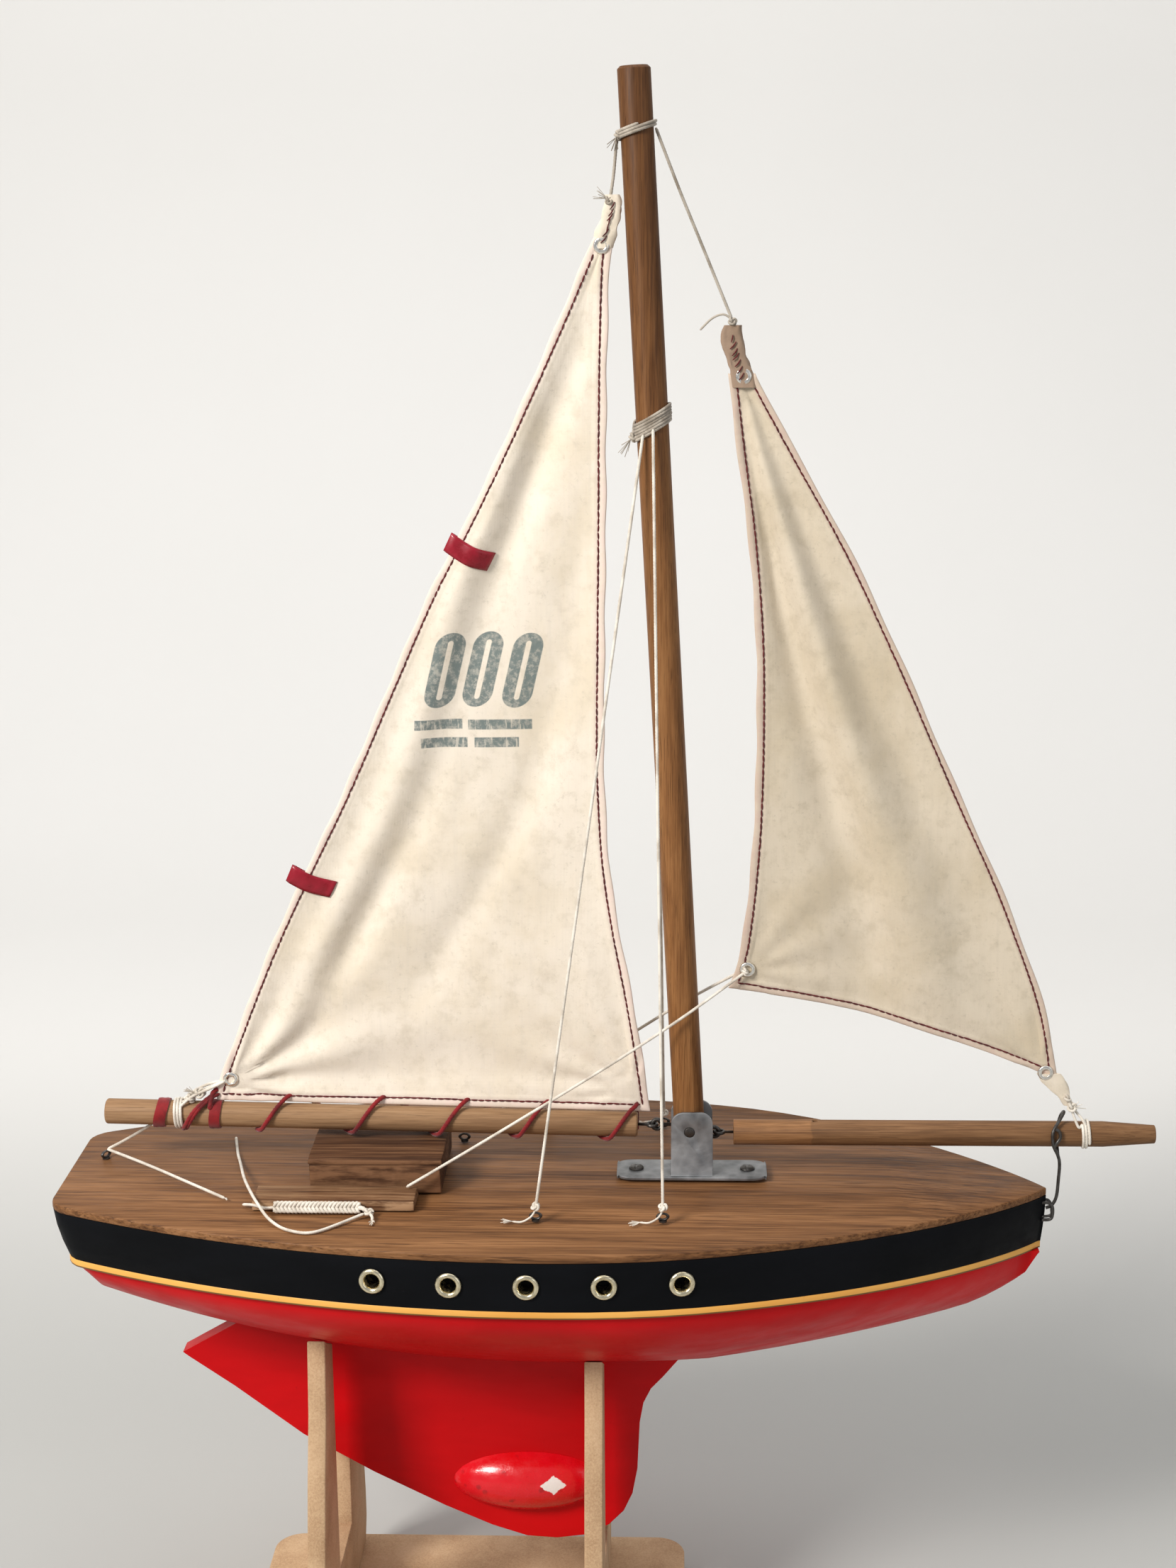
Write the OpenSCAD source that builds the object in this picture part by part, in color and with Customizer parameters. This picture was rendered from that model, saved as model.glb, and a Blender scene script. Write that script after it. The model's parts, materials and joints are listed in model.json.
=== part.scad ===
// Toy sailing boat on its display stand: solid hull with keel fin and ballast, raked mast in a
// folding shoe, boom and bowsprit, mainsail, jib, shrouds, halyards and sheets.
// Frame: +X towards the bow, +Y to port, +Z up. The origin is on the table, under the middle of the hull.
// Lengths are in millimetres.

/* [Hull] */
// Length of the hull, bow tip to transom
hull_length = 380; // [300:1:460]
// Greatest width of the hull at the deck
hull_beam = 156; // [110:1:200]
// Width of the transom at the deck
transom_width = 70; // [40:1:100]
// Height of the black topside below the deck board
topside_height = 19; // [12:0.5:30]
// Thickness of the coloured strake under the topside
stripe_height = 3; // [2:0.5:6]
// Thickness of the deck board
deck_thickness = 3; // [2:0.5:6]
// Depth of the hull amidships, deck to keel root
hull_depth = 79; // [55:1:100]
// Width of the ledge between the strake and the bottom
ledge = 1.4; // [0.5:0.1:3]

/* [Keel] */
// Thickness of the keel board
keel_thickness = 8; // [5:0.5:12]
// Depth of the keel, deck to its lowest edge
keel_depth = 157; // [120:1:190]
// Length of each ballast weight
ballast_length = 64; // [40:1:80]
// Height of each ballast weight
ballast_height = 27; // [16:1:36]
// How far each ballast weight stands out from the keel board
ballast_bulge = 9; // [5:0.5:14]

/* [Portholes] */
// Outer diameter of a porthole flange
port_flange = 9.8; // [7:0.1:13]
// Inner diameter of a porthole
port_bore = 5.6; // [3:0.1:8]
// Distance between portholes
port_pitch = 28; // [20:0.5:36]
// Number of portholes on each side
port_count = 5; // [1:1:7]
// Depth of the porthole centres below the deck
port_depth = 12; // [8:0.5:16]

/* [Deck fittings] */
// Length of the cabin block
cabin_length = 50; // [30:1:70]
// Width of the cabin block
cabin_width = 45; // [30:1:60]
// Height of the cabin sides
cabin_height = 11.5; // [8:0.5:14]
// Thickness of the cabin roof
roof_thickness = 2; // [1:0.1:4]
// Length of the side bench
bench_length = 61; // [40:1:80]
// Width of the side bench
bench_width = 15; // [8:1:20]
// Height of the side bench
bench_height = 4; // [2:0.5:6]

/* [Mast] */
// Diameter of the mast
mast_dia = 11.8; // [8:0.1:16]
// Height of the masthead above the deck
mast_height = 412; // [320:1:500]
// Backward lean of the mast, degrees
mast_rake = 2.9; // [0:0.1:6]
// Place of the mast foot, forward of the middle of the hull
mast_x = 53; // [20:1:80]
// Thickness of the mast shoe's sheet metal
shoe_sheet = 1.2; // [0.8:0.1:2]
// Length of the mast shoe's base plate
shoe_length = 58; // [44:1:80]
// Width of the mast shoe's base plate
shoe_width = 23; // [16:1:28]
// Height of the mast shoe's cheeks
cheek_height = 27; // [20:1:36]
// Width of the mast shoe's cheeks
cheek_width = 16; // [12:1:24]
// Diameter of the mast pin
mast_pin_dia = 3.9; // [2.5:0.1:5]

/* [Boom and bowsprit] */
// Diameter of the boom
boom_dia = 9.8; // [6:0.1:12]
// Length of the boom
boom_length = 207; // [160:1:260]
// Height of the boom's underside over the deck at the mast
boom_height = 14.6; // [12:0.1:25]
// Upward slope of the boom towards the stern, degrees
boom_slope = 1.2; // [0:0.1:4]
// Diameter of the bowsprit
sprit_dia = 9.8; // [6:0.1:12]
// Length of the bowsprit
sprit_length = 161.5; // [120:0.5:200]
// Height of the bowsprit's centre over the deck
sprit_height = 16.5; // [12:0.5:24]
// Gap between the mast and the aft end of the bowsprit
sprit_gap = 11; // [8:0.5:16]

/* [Sails and cords] */
// Thickness of the sailcloth solids
sail_thickness = 0.8; // [0.5:0.1:1.5]
// Diameter of the cords
cord_dia = 1.2; // [0.8:0.1:2]
// Outer diameter of the sail eyelets
eyelet_dia = 6.2; // [4:0.1:8]
// Hole diameter of the sail eyelets
eyelet_bore = 3; // [2:0.1:4]

/* [Stand] */
// Thickness of the stand's board
board_thickness = 7; // [5:0.5:10]
// Length of the stand's base
base_length = 176; // [140:1:220]
// Width of the stand's base
base_width = 120; // [100:1:160]
// Thickness of the stand's base
base_thickness = 9; // [6:0.5:14]
// Distance between the two cradle boards
cradle_spacing = 106; // [80:1:130]
// Place of the aft cradle board, measured from the middle of the hull
cradle_aft_x = -90.5; // [-120:0.5:-60]
// Width of the slot that the keel hangs in
slot_width = 36; // [20:1:60]
// Space between the keel and the stand's base
keel_clearance = 38; // [10:1:60]
// Gap between the hull and the cradle boards
cradle_gap = 0.3; // [0.2:0.1:1]

/* [Hidden] */
half_l = hull_length / 2;
half_b = hull_beam / 2;
half_t = transom_width / 2;
deck_z = base_thickness + keel_clearance + keel_depth;
stripe_top = deck_thickness + topside_height;
side_depth = stripe_top + stripe_height;
stations = 44;
corner_r = 6;
bow_depth = side_depth + 15;
stern_depth = side_depth + 18;

// Half width of the deck at a place along the hull
function rounding(x) = x > corner_r - half_l ? 0 :
    corner_r - sqrt(max(0, pow(corner_r, 2) - pow(corner_r - half_l - x, 2)));
function breadth(x) = x >= 0 ?
    half_b * pow(max(0, 1 - pow(x / half_l, 2.1)), 0.88) :
    half_b - (half_b - half_t) * pow(-x / half_l, 2.08) - rounding(x);
// Places of the hull's sections, closer together near the ends
function station(i) = -half_l * cos(180 * i / stations);
// The hull narrows in length as it goes down: stern and bow lean in
function stern_in(d) = 6.5 * pow(d / 25, 1.8);
function bow_in(d) = 2.0 * pow(d / 25, 2);
function place(x, d) = -half_l + stern_in(d) + (x + half_l) * (hull_length - stern_in(d) - bow_in(d)) / hull_length;
function tuck(d) = 0.8 * pow(d / 25, 2);
// Outline of the hull at a depth d, drawn in by an inset; every width is kept above a small value
function side_points(d, inset) = [for (i = [0 : stations])
    [place(station(i), d), max(0.6, breadth(station(i)) - tuck(d) - inset)]];
function outline(d, inset = 0) = concat(
    [for (p = side_points(d, inset)) [p[0], -p[1]]],
    [for (i = [stations : -1 : 0]) side_points(d, inset)[i]]);

// Solid between rings of equal count
function ring_faces(rings, n) = concat(
    [[for (j = [n - 1 : -1 : 0]) j]],
    [for (r = [0 : rings - 2]) for (j = [0 : n - 1])
        [r * n + j, r * n + (j + 1) % n, (r + 1) * n + (j + 1) % n, (r + 1) * n + j]],
    [[for (j = [0 : n - 1]) (rings - 1) * n + j]]);

// Depth of the bottom under the deck along the middle of the hull
bottom_aft = place(-half_l, side_depth) + 0.3;
bottom_fore = place(half_l, side_depth) - 0.3;
function bottom(x) = x >= 0 ?
    min(hull_depth - (hull_depth - bow_depth) * pow(x / half_l, 2.6), side_depth + 2 + (bottom_fore - x) * 4) :
    min(hull_depth - (hull_depth - stern_depth) * pow(-x / half_l, 2), side_depth + 2 + (x - bottom_aft) * 2.6);
bottom_stations = 40;
section_points = 11;
function bottom_station(i) =
    (bottom_aft + bottom_fore) / 2 - (bottom_fore - bottom_aft) / 2 * cos(180 * i / bottom_stations);
function top_half(x) = max(keel_thickness / 2 + 0.4,
    breadth((x - bottom_aft) / (bottom_fore - bottom_aft) * (hull_length - 0.6) - half_l + 0.3) - tuck(side_depth)
    - ledge);
// One side of a section, from the top edge down to the keel root
function half_section(x, grow) = [for (k = [0 : section_points - 1])
    let (t = k / (section_points - 1), w = top_half(x) - keel_thickness / 2)
    [keel_thickness / 2 + w * (1 - pow(t, 1.6)) + grow,
        -side_depth - (bottom(x) - side_depth) * t - (t > 0.9 ? grow : grow * t)]];
function section(x, grow) = concat(
    [for (p = half_section(x, grow)) [x, -p[0], p[1]]],
    [for (k = [section_points - 1 : -1 : 0])
        [x, half_section(x, grow)[k][0], half_section(x, grow)[k][1]]]);

// Outline of the keel board: the top follows the bottom's own sections
fin_aft_x = -126;
fin_fore_x = 48;
fin_top = [for (i = [0 : bottom_stations])
    if (bottom_station(i) > fin_aft_x && bottom_station(i) < fin_fore_x)
        [bottom_station(i), -bottom(bottom_station(i))]];
function on_bottom(x) = let (i = max([for (k = [0 : bottom_stations - 1]) if (bottom_station(k) <= x) k]),
    a = bottom_station(i), b = bottom_station(i + 1), f = (x - a) / (b - a))
    [x, -(bottom(a) * (1 - f) + bottom(b) * f)];
fin_drop = keel_depth - hull_depth;
fin_lower = [
    [42, -hull_depth - fin_drop * 0.08], [37, -hull_depth - fin_drop * 0.15],
    [34, -hull_depth - fin_drop * 0.23], [32.5, -hull_depth - fin_drop * 0.34],
    [31.5, -hull_depth - fin_drop * 0.6], [29.5, -hull_depth - fin_drop * 0.74],
    [26, -hull_depth - fin_drop * 0.84], [20, -hull_depth - fin_drop * 0.92],
    [11, -hull_depth - fin_drop * 0.98], [-1, -hull_depth - fin_drop],
    [-13, -hull_depth - fin_drop * 0.99], [-27, -hull_depth - fin_drop * 0.93],
    [-46, -hull_depth - fin_drop * 0.82], [-74, -hull_depth - fin_drop * 0.635],
    [-102, -hull_depth - fin_drop * 0.425], [-129, -hull_depth - fin_drop * 0.155],
    [-146, -hull_depth], [-149, -hull_depth + 2.5]];
fin_outline = concat([on_bottom(fin_aft_x)], fin_top, [on_bottom(fin_fore_x)], fin_lower);

// Screw hooks and eyes between the mast and the spars
hook_wire = 1.6;
hook_ring = 5.4;
hook_grip = 3;
hook_reach = 6.5;
sprit_reach = 3.6;
eye_wire = 1.3;
eye_ring = 5;

// Rig geometry, all measured from the deck
function mast_at(z) = mast_x - z * tan(mast_rake);
boom_gap = 14;
boom_axis = boom_height + boom_dia / 2;
foot_lift = boom_dia / 2 + 2.1;
boom_fore_x = mast_at(boom_axis) - mast_dia / 2 - boom_gap;
boom_fore = [boom_fore_x, 0, boom_axis];
function boom_at(x) = boom_axis + (boom_fore_x - x) * tan(boom_slope);
boom_aft_x = boom_fore_x - boom_length * cos(boom_slope);
sprit_aft_x = mast_at(sprit_height) + mast_dia / 2 + sprit_gap;
sprit_fore_x = sprit_aft_x + sprit_length;
stem_x = half_l;
hinge_x = mast_at(boom_axis) - mast_dia / 2 - hook_reach - (hook_ring - hook_wire) / 2;

// Sail outlines in the X, Z plane, measured from the deck
main_outline = [[38, boom_at(38) + foot_lift], [31.5, 66], [25, 98], [21.5, 125], [20, 160], [20.5, 200],
    [21.5, 250], [22, 300], [23.5, 346], [26, 358], [26.5, 366], [21, 367], [18, 356], [15.5, 350], [1, 317],
    [-15, 283], [-30.5, 252], [-44.5, 226], [-60.5, 191], [-79.5, 149], [-95.5, 117], [-111, 84],
    [-132, boom_at(-132) + foot_lift + 4], [-130, boom_at(-130) + foot_lift]];
jib_outline = [[194, 43], [187, 67], [171, 110], [152, 152], [132, 197], [111.5, 240], [88, 282], [77, 302],
    [73, 314], [66, 322], [62, 316], [66, 300], [70, 270], [73.5, 243], [76.5, 200], [76, 140], [72, 95],
    [67, 75], [103, 67], [148, 53], [189, 35]];
jib_tack = [194, 43];
jib_head = [75, 305];

// Route points of the cords, measured from the deck
eye_height = 3.2;
shroud_x = [42, -5];
shroud_y = 47;
shroud_top = 293;
halyard_top = 391;
main_halyard_route = [[mast_at(halyard_top) - mast_dia / 2 - 0.9, 0, halyard_top], [26, 0, 384],
    [25.2, 0, 376], [24, 0, 368.6]];
jib_halyard_route = [[mast_at(halyard_top) + mast_dia / 2 + 0.9, 0, halyard_top], [48, 0, 370],
    [57, 0, 348.5], [65.7, 0, 327]];
mainsheet_route = [[-157, 0, boom_at(-157) - boom_dia / 2 - 0.9], [-164, 3.3, 13.4], [-171, 6.6, 8.4],
    [-177, 9.3, 4.1]];
sheet_tail_route = [[-176.5, 9.3, 4.1], [-160, -3, 3], [-142, -16.5, 1.9], [-124, -30, 0.7]];
jib_sheet_route = [[73.5, -2.3, 81.5], [50, -8.6, 66.5], [25, -13.5, 50.8], [0, -18.3, 36.2], [-28, -23.2, 20],
    [-55, -28, 4.8]];
jib_sheet_far_route = [[73.5, 2.3, 81.5], [50, 8.6, 66.5], [25, 14, 48.5], [0, 20, 31], [-22, 25.5, 15.5],
    [-37, 29.5, 5.6]];
port_eye_at = [-38, 29.5];
loose_route = [[-122, 26, 0.8], [-126, 14, 0.8], [-126, 2, 0.8], [-124, -10, 0.8], [-121, -24, 0.8],
    [-116, -38, 0.8], [-108, -49, 0.8], [-98, -56, 0.8], [-89, -59, 0.8], [-81, -57.5, 0.8], [-74, -52, 0.8],
    [-69, -45.5, 0.8]];
stem_wire_dia = 1.8;
stem_wire_route = [for (p = [[0, 0.5, -11], [3, 1.5, -9], [5, 3, -4], [5.5, 5, 4], [5.2, 5.9, 10],
    [4, 5.9, 18], [2, 4.5, 23.2], [1, 0, 25], [2, -4, 23.2], [1.5, -5.9, 18.5], [-0.5, -5.9, 14]]) p + [half_l, 0, 0]];

// Straight tube with round ends along a list of points
function unit(v) = v / norm(v);
function tangent(p, i) = unit(p[min(i + 1, len(p) - 1)] - p[max(i - 1, 0)]);
function side_of(t) = unit(abs(t[2]) > 0.9 ? cross(t, [1, 0, 0]) : cross(t, [0, 0, 1]));
function tube_points(p, r, n) = [for (i = [0 : len(p) - 1])
    let (t = tangent(p, i), u = side_of(t), w = cross(u, t))
    for (j = [0 : n - 1]) p[i] + r * (cos(360 * j / n) * u + sin(360 * j / n) * w)];
// Points of a smooth curve through the route's own points
function blend(a, b, c, d, f) = 0.5 * ((2 * b) + (c - a) * f + (2 * a - 5 * b + 4 * c - d) * f * f
    + (3 * b - a - 3 * c + d) * f * f * f);
function smooth_route(p, m) = concat([for (i = [0 : len(p) - 2]) for (k = [0 : m - 1])
    blend(p[max(i - 1, 0)], p[i], p[i + 1], p[min(i + 2, len(p) - 1)], k / m)], [p[len(p) - 1]]);
module tube(p, d, n = 8) {
    polyhedron(points = tube_points(p, d / 2, n), faces = ring_faces(len(p), n), convexity = 6);
}
module at_deck() {
    translate([0, 0, deck_z]) children();
}
module rod(a, b, d) {
    v = b - a;
    translate(a)
    rotate([0, acos(v[2] / norm(v)), atan2(v[1], v[0])])
    cylinder(h = norm(v), d = d, $fn = 32);
}
module ring(outer, wire) {
    rotate_extrude($fn = 32) translate([outer / 2 - wire / 2, 0]) circle(d = wire, $fn = 16);
}
module rounded_plate(l, w, h, r) {
    translate([r - l / 2, r - w / 2, 0]) cylinder(h = h, r = r, $fn = 48);
    translate([l / 2 - r, r - w / 2, 0]) cylinder(h = h, r = r, $fn = 48);
    translate([r - l / 2, w / 2 - r, 0]) cylinder(h = h, r = r, $fn = 48);
    translate([l / 2 - r, w / 2 - r, 0]) cylinder(h = h, r = r, $fn = 48);
    translate([r - l / 2, -w / 2, 0]) cube([l - 2 * r, w, h]);
    translate([-l / 2, r - w / 2, 0]) cube([l, w - 2 * r, h]);
}

// ---- Stand ----
base_x = cradle_aft_x + cradle_spacing / 2;
module stand_base() {
    color("burlywood")
    translate([base_x, 0, 0])
    rounded_plate(base_length, base_width, base_thickness, 12);
}
// Outline of a cradle board: two arms either side of the keel slot
cradle_top = -side_depth - 14;
cradle_foot = base_thickness - deck_z;
slot_floor = -keel_depth - 8;
arm_tip = slot_width / 2 + 15;
cradle_outline = [[-base_width / 2 + 6, cradle_foot], [base_width / 2 - 6, cradle_foot],
    [base_width / 2 - 1, cradle_foot + 10], [base_width / 2 - 1, cradle_foot + 22],
    [base_width / 2 - 5, cradle_foot + 50], [base_width / 2 - 13, cradle_foot + 85],
    [arm_tip + 6, cradle_foot + 110], [arm_tip, cradle_top], [slot_width / 2, cradle_top],
    [slot_width / 2, slot_floor], [-slot_width / 2, slot_floor], [-slot_width / 2, cradle_top],
    [-arm_tip, cradle_top], [-arm_tip - 6, cradle_foot + 110], [-base_width / 2 + 13, cradle_foot + 85],
    [-base_width / 2 + 5, cradle_foot + 50], [-base_width / 2 + 1, cradle_foot + 22],
    [-base_width / 2 + 1, cradle_foot + 10]];
module bottom_solid(grow) {
    polyhedron(points = [for (i = [0 : bottom_stations]) each section(bottom_station(i), grow)],
        faces = ring_faces(bottom_stations + 1, 2 * section_points), convexity = 4);
}
// The notch is sawn square through the board, to the hull's fullest section within the board's thickness
module cradle(x) {
    fullest = x < 0 ? min(0, x + board_thickness / 2) : max(0, x - board_thickness / 2);
    color("burlywood")
    at_deck()
    translate([x + board_thickness / 2, 0, 0])
    rotate([90, 0, -90])
    linear_extrude(board_thickness)
    difference() {
        polygon(cradle_outline);
        polygon([for (p = section(fullest, cradle_gap)) [p[1], p[2]]]);
    }
}
module stand_cradle_aft() {
    cradle(cradle_aft_x);
}
module stand_cradle_fore() {
    cradle(cradle_aft_x + cradle_spacing);
}

// ---- Hull ----
module deck_board() {
    color("sienna")
    at_deck()
    translate([0, 0, -deck_thickness])
    linear_extrude(deck_thickness)
    polygon(outline(0));
}
function port_x(i) = (i - (port_count - 1) / 2) * port_pitch - 7;
function port_y(x) = breadth(x) - tuck(port_depth);
function port_turn(x) = atan((port_y(x + 4) - port_y(x - 4)) / 8);
port_barrel = port_bore + 0.9;
module port_place(x, side) {
    translate([x, side * port_y(x), -port_depth])
    rotate([-90 * side, 0, port_turn(x) * side])
    children();
}
hull_levels = [0, 0.35, 0.7, 1];
module upper_hull() {
    color([0.04, 0.04, 0.05])
    at_deck()
    difference() {
        polyhedron(points = [for (k = [len(hull_levels) - 1 : -1 : 0])
            let (d = deck_thickness + topside_height * hull_levels[k])
            for (p = outline(d)) [p[0], p[1], -d]],
            faces = ring_faces(len(hull_levels), 2 * stations + 2), convexity = 4);
        for (side = [-1, 1]) for (i = [0 : port_count - 1])
            port_place(port_x(i), side)
            translate([0, 0, -7]) cylinder(h = 9, d = port_barrel, $fn = 32);
    }
}
module stripe() {
    color("goldenrod")
    at_deck()
    translate([0, 0, -side_depth])
    linear_extrude(stripe_height)
    polygon(outline(stripe_top));
}
module lower_hull() {
    color([0.8, 0.02, 0.04])
    at_deck()
    bottom_solid(0);
}
module keel_fin() {
    color([0.75, 0.02, 0.04])
    at_deck()
    translate([0, keel_thickness / 2, 0])
    rotate([90, 0, 0])
    linear_extrude(keel_thickness)
    polygon(fin_outline);
}
ballast_x = -12;
ballast_z = -keel_depth + ballast_height / 2 + 12;
ballast_sink = max(0.5, ballast_height / 2 - ballast_bulge);
module ballast_weights() {
    color([0.7, 0.02, 0.04])
    at_deck()
    for (side = [-1, 1])
        intersection() {
            translate([ballast_x, side * (keel_thickness / 2 - ballast_sink), ballast_z])
            rotate([0, 90, 0])
            rotate_extrude($fn = 64)
            polygon([for (k = [0 : 16]) let (a = -90 + 180 * k / 16)
                [ballast_height / 2 * cos(a), ballast_length / 2 * sin(a)]]);
            translate([ballast_x - ballast_length, side > 0 ? keel_thickness / 2 : -keel_thickness / 2 - 30,
                ballast_z - ballast_height])
            cube([2 * ballast_length, 30, 2 * ballast_height]);
        }
}
// Eyelet: flange with a rounded rim and a barrel that fills the hull's hole
module port_eyelet() {
    rotate_extrude($fn = 48)
    polygon([[port_bore / 2, -6.5], [port_barrel / 2 - 0.01, -6.5], [port_barrel / 2 - 0.01, 0.15],
        [port_flange / 2, 0.15], [port_flange / 2, 0.5], [port_flange / 2 - 0.5, 1.05],
        [(port_flange + port_bore) / 4, 1.25], [port_bore / 2 + 0.4, 0.9], [port_bore / 2, 0.4]]);
}
module portholes(side) {
    color("gold")
    at_deck()
    for (i = [0 : port_count - 1])
        port_place(port_x(i), side) port_eyelet();
}
module portholes_starboard() {
    portholes(-1);
}
module portholes_port() {
    portholes(1);
}

// ---- Deck fittings ----
cabin_x = -92.5;
module cabin_block() {
    color("saddlebrown")
    at_deck()
    translate([cabin_x, -cabin_width / 2, 0])
    cube([cabin_length, cabin_width, cabin_height]);
}
// Roof: a low arch across the cabin with a small overhang at its ends
roof_width = cabin_width + 1;
roof_rise = 0.9;
roof_r = (pow(roof_width / 2, 2) + pow(roof_rise, 2)) / (2 * roof_rise);
module cabin_roof() {
    color("brown")
    at_deck()
    translate([cabin_x - 0.6, 0, cabin_height])
    rotate([90, 0, 90])
    linear_extrude(cabin_length + 1.2)
    polygon(concat([[-roof_width / 2, 0], [roof_width / 2, 0]],
        [for (k = [0 : 10]) let (y = roof_width / 2 - roof_width * k / 10)
            [y, roof_thickness + sqrt(pow(roof_r, 2) - y * y) - roof_r + roof_rise]]));
}
bench_x = -112;
bench_gap = 2;
bench_y = -cabin_width / 2 - bench_gap - bench_width;
module side_bench() {
    color("sienna")
    at_deck()
    translate([bench_x, bench_y, 0])
    cube([bench_length, bench_width, bench_height]);
}
module braided_band() {
    color("white")
    at_deck()
    translate([bench_x + 8, bench_y - 5, 0])
    cube([34, 4.4, 1.6]);
}
module loose_line() {
    color("white")
    at_deck()
    tube(smooth_route(loose_route, 4), cord_dia);
}

// ---- Mast and its shoe ----
cheek_y = mast_dia / 2 + 0.15;
pin_z = cheek_height - 8;
screw_x = shoe_length / 2 - 7.5;
module cheek_shape() {
    difference() {
        union() {
            translate([-cheek_width / 2, 0]) square([cheek_width, cheek_height - 5]);
            translate([-cheek_width / 2 + 5, cheek_height - 5]) square([cheek_width - 10, 5]);
            translate([-cheek_width / 2 + 5, cheek_height - 5]) circle(r = 5, $fn = 32);
            translate([cheek_width / 2 - 5, cheek_height - 5]) circle(r = 5, $fn = 32);
        }
        translate([mast_at(pin_z) - mast_x, pin_z]) circle(d = mast_pin_dia + 0.1, $fn = 32);
    }
}
module mast_shoe() {
    color("gray")
    at_deck()
    translate([mast_x, 0, 0]) {
        difference() {
            rounded_plate(shoe_length, shoe_width, shoe_sheet, 6);
            for (s = [-1, 1])
                translate([s * screw_x, 0, -1]) cylinder(h = 4, d = 3.2, $fn = 32);
        }
        for (s = [-1, 1])
            translate([0, s > 0 ? cheek_y + shoe_sheet : -cheek_y, 0])
            rotate([90, 0, 0])
            linear_extrude(shoe_sheet)
            cheek_shape();
    }
}
module shoe_screws() {
    color("dimgray")
    at_deck()
    for (s = [-1, 1])
        translate([mast_x + s * screw_x, 0, 0])
        difference() {
            union() {
                cylinder(h = shoe_sheet, d = 3.1, $fn = 32);
                translate([0, 0, shoe_sheet]) cylinder(h = 0.6, d = 5.6, $fn = 32);
                translate([0, 0, shoe_sheet + 0.6]) cylinder(h = 0.5, d1 = 5.6, d2 = 4.2, $fn = 32);
            }
            translate([-0.4, -4, shoe_sheet + 0.6]) cube([0.8, 8, 1]);
        }
}
module mast_pin() {
    color("dimgray")
    at_deck()
    translate([mast_at(pin_z), 0, pin_z])
    rotate([90, 0, 0])
    cylinder(h = 2 * cheek_y + 2 * shoe_sheet + 0.6, d = mast_pin_dia, center = true, $fn = 32);
}
module on_mast() {
    translate([mast_x, 0, 0]) rotate([0, -mast_rake, 0]) children();
}
mast_foot = shoe_sheet + 0.35;
mast_length = mast_height / cos(mast_rake);
module mast() {
    color("peru")
    at_deck()
    difference() {
        on_mast() {
            translate([0, 0, mast_foot]) cylinder(h = mast_length - mast_foot - 1, d = mast_dia, $fn = 64);
            translate([0, 0, mast_length - 1]) cylinder(h = 1, d1 = mast_dia, d2 = mast_dia - 2, $fn = 64);
        }
        translate([mast_at(pin_z), 0, pin_z])
        rotate([90, 0, 0])
        cylinder(h = 30, d = mast_pin_dia + 0.1, center = true, $fn = 32);
        translate([mast_at(boom_axis) - mast_dia / 2 - 1, 0, boom_axis])
        rotate([0, 90, 0])
        cylinder(h = hook_grip + 1, d = hook_wire - 0.1, $fn = 24);
        translate([mast_at(sprit_height) + mast_dia / 2 - hook_grip, 0, sprit_height])
        rotate([0, 90, 0])
        cylinder(h = hook_grip + 1, d = hook_wire - 0.1, $fn = 24);
    }
}
// A lashing: turns of cord side by side round the mast
module mast_lashing(z, turns) {
    at_deck()
    on_mast()
    for (k = [0 : turns - 1])
        translate([0, 0, z + k * cord_dia]) ring(mast_dia + 2 * cord_dia, cord_dia);
}
module masthead_band() {
    color("white") mast_lashing(389.5, 5);
}
module shroud_band() {
    color("white") mast_lashing(287.5, 8);
}
// Screw hooks in the mast: the aft one holds the boom's eye, the fore one the bowsprit's.
// Each ring stands upright; the spar's eye lies flat through it.
module screw_hook(reach) {
    rotate([0, 90, 0])
    translate([0, 0, -hook_grip]) cylinder(h = hook_grip + reach - hook_ring / 2 + 1, d = hook_wire - 0.2, $fn = 24);
    translate([reach, 0, 0]) rotate([90, 0, 0]) ring(hook_ring, hook_wire);
}
module mast_hook() {
    color("dimgray")
    at_deck()
    translate([mast_at(boom_axis) - mast_dia / 2, 0, boom_axis])
    rotate([0, 0, 180])
    screw_hook(hook_reach);
}
module sprit_hook() {
    color("dimgray")
    at_deck()
    translate([mast_at(sprit_height) + mast_dia / 2, 0, sprit_height])
    screw_hook(sprit_reach);
}
module bowsprit() {
    color("saddlebrown")
    at_deck()
    translate([sprit_aft_x, 0, sprit_height])
    rotate([0, 90, 0])
    difference() {
        union() {
            cylinder(h = sprit_length - 20, d = sprit_dia, $fn = 64);
            translate([0, 0, sprit_length - 20]) cylinder(h = 20, d1 = sprit_dia, d2 = sprit_dia - 2.8, $fn = 64);
        }
        translate([-sprit_dia, -1, 30.5]) cube([sprit_dia, 2, 1.8]);
        translate([0, 0, -1]) cylinder(h = 7.1, d = eye_wire - 0.1, $fn = 24);
    }
}
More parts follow.
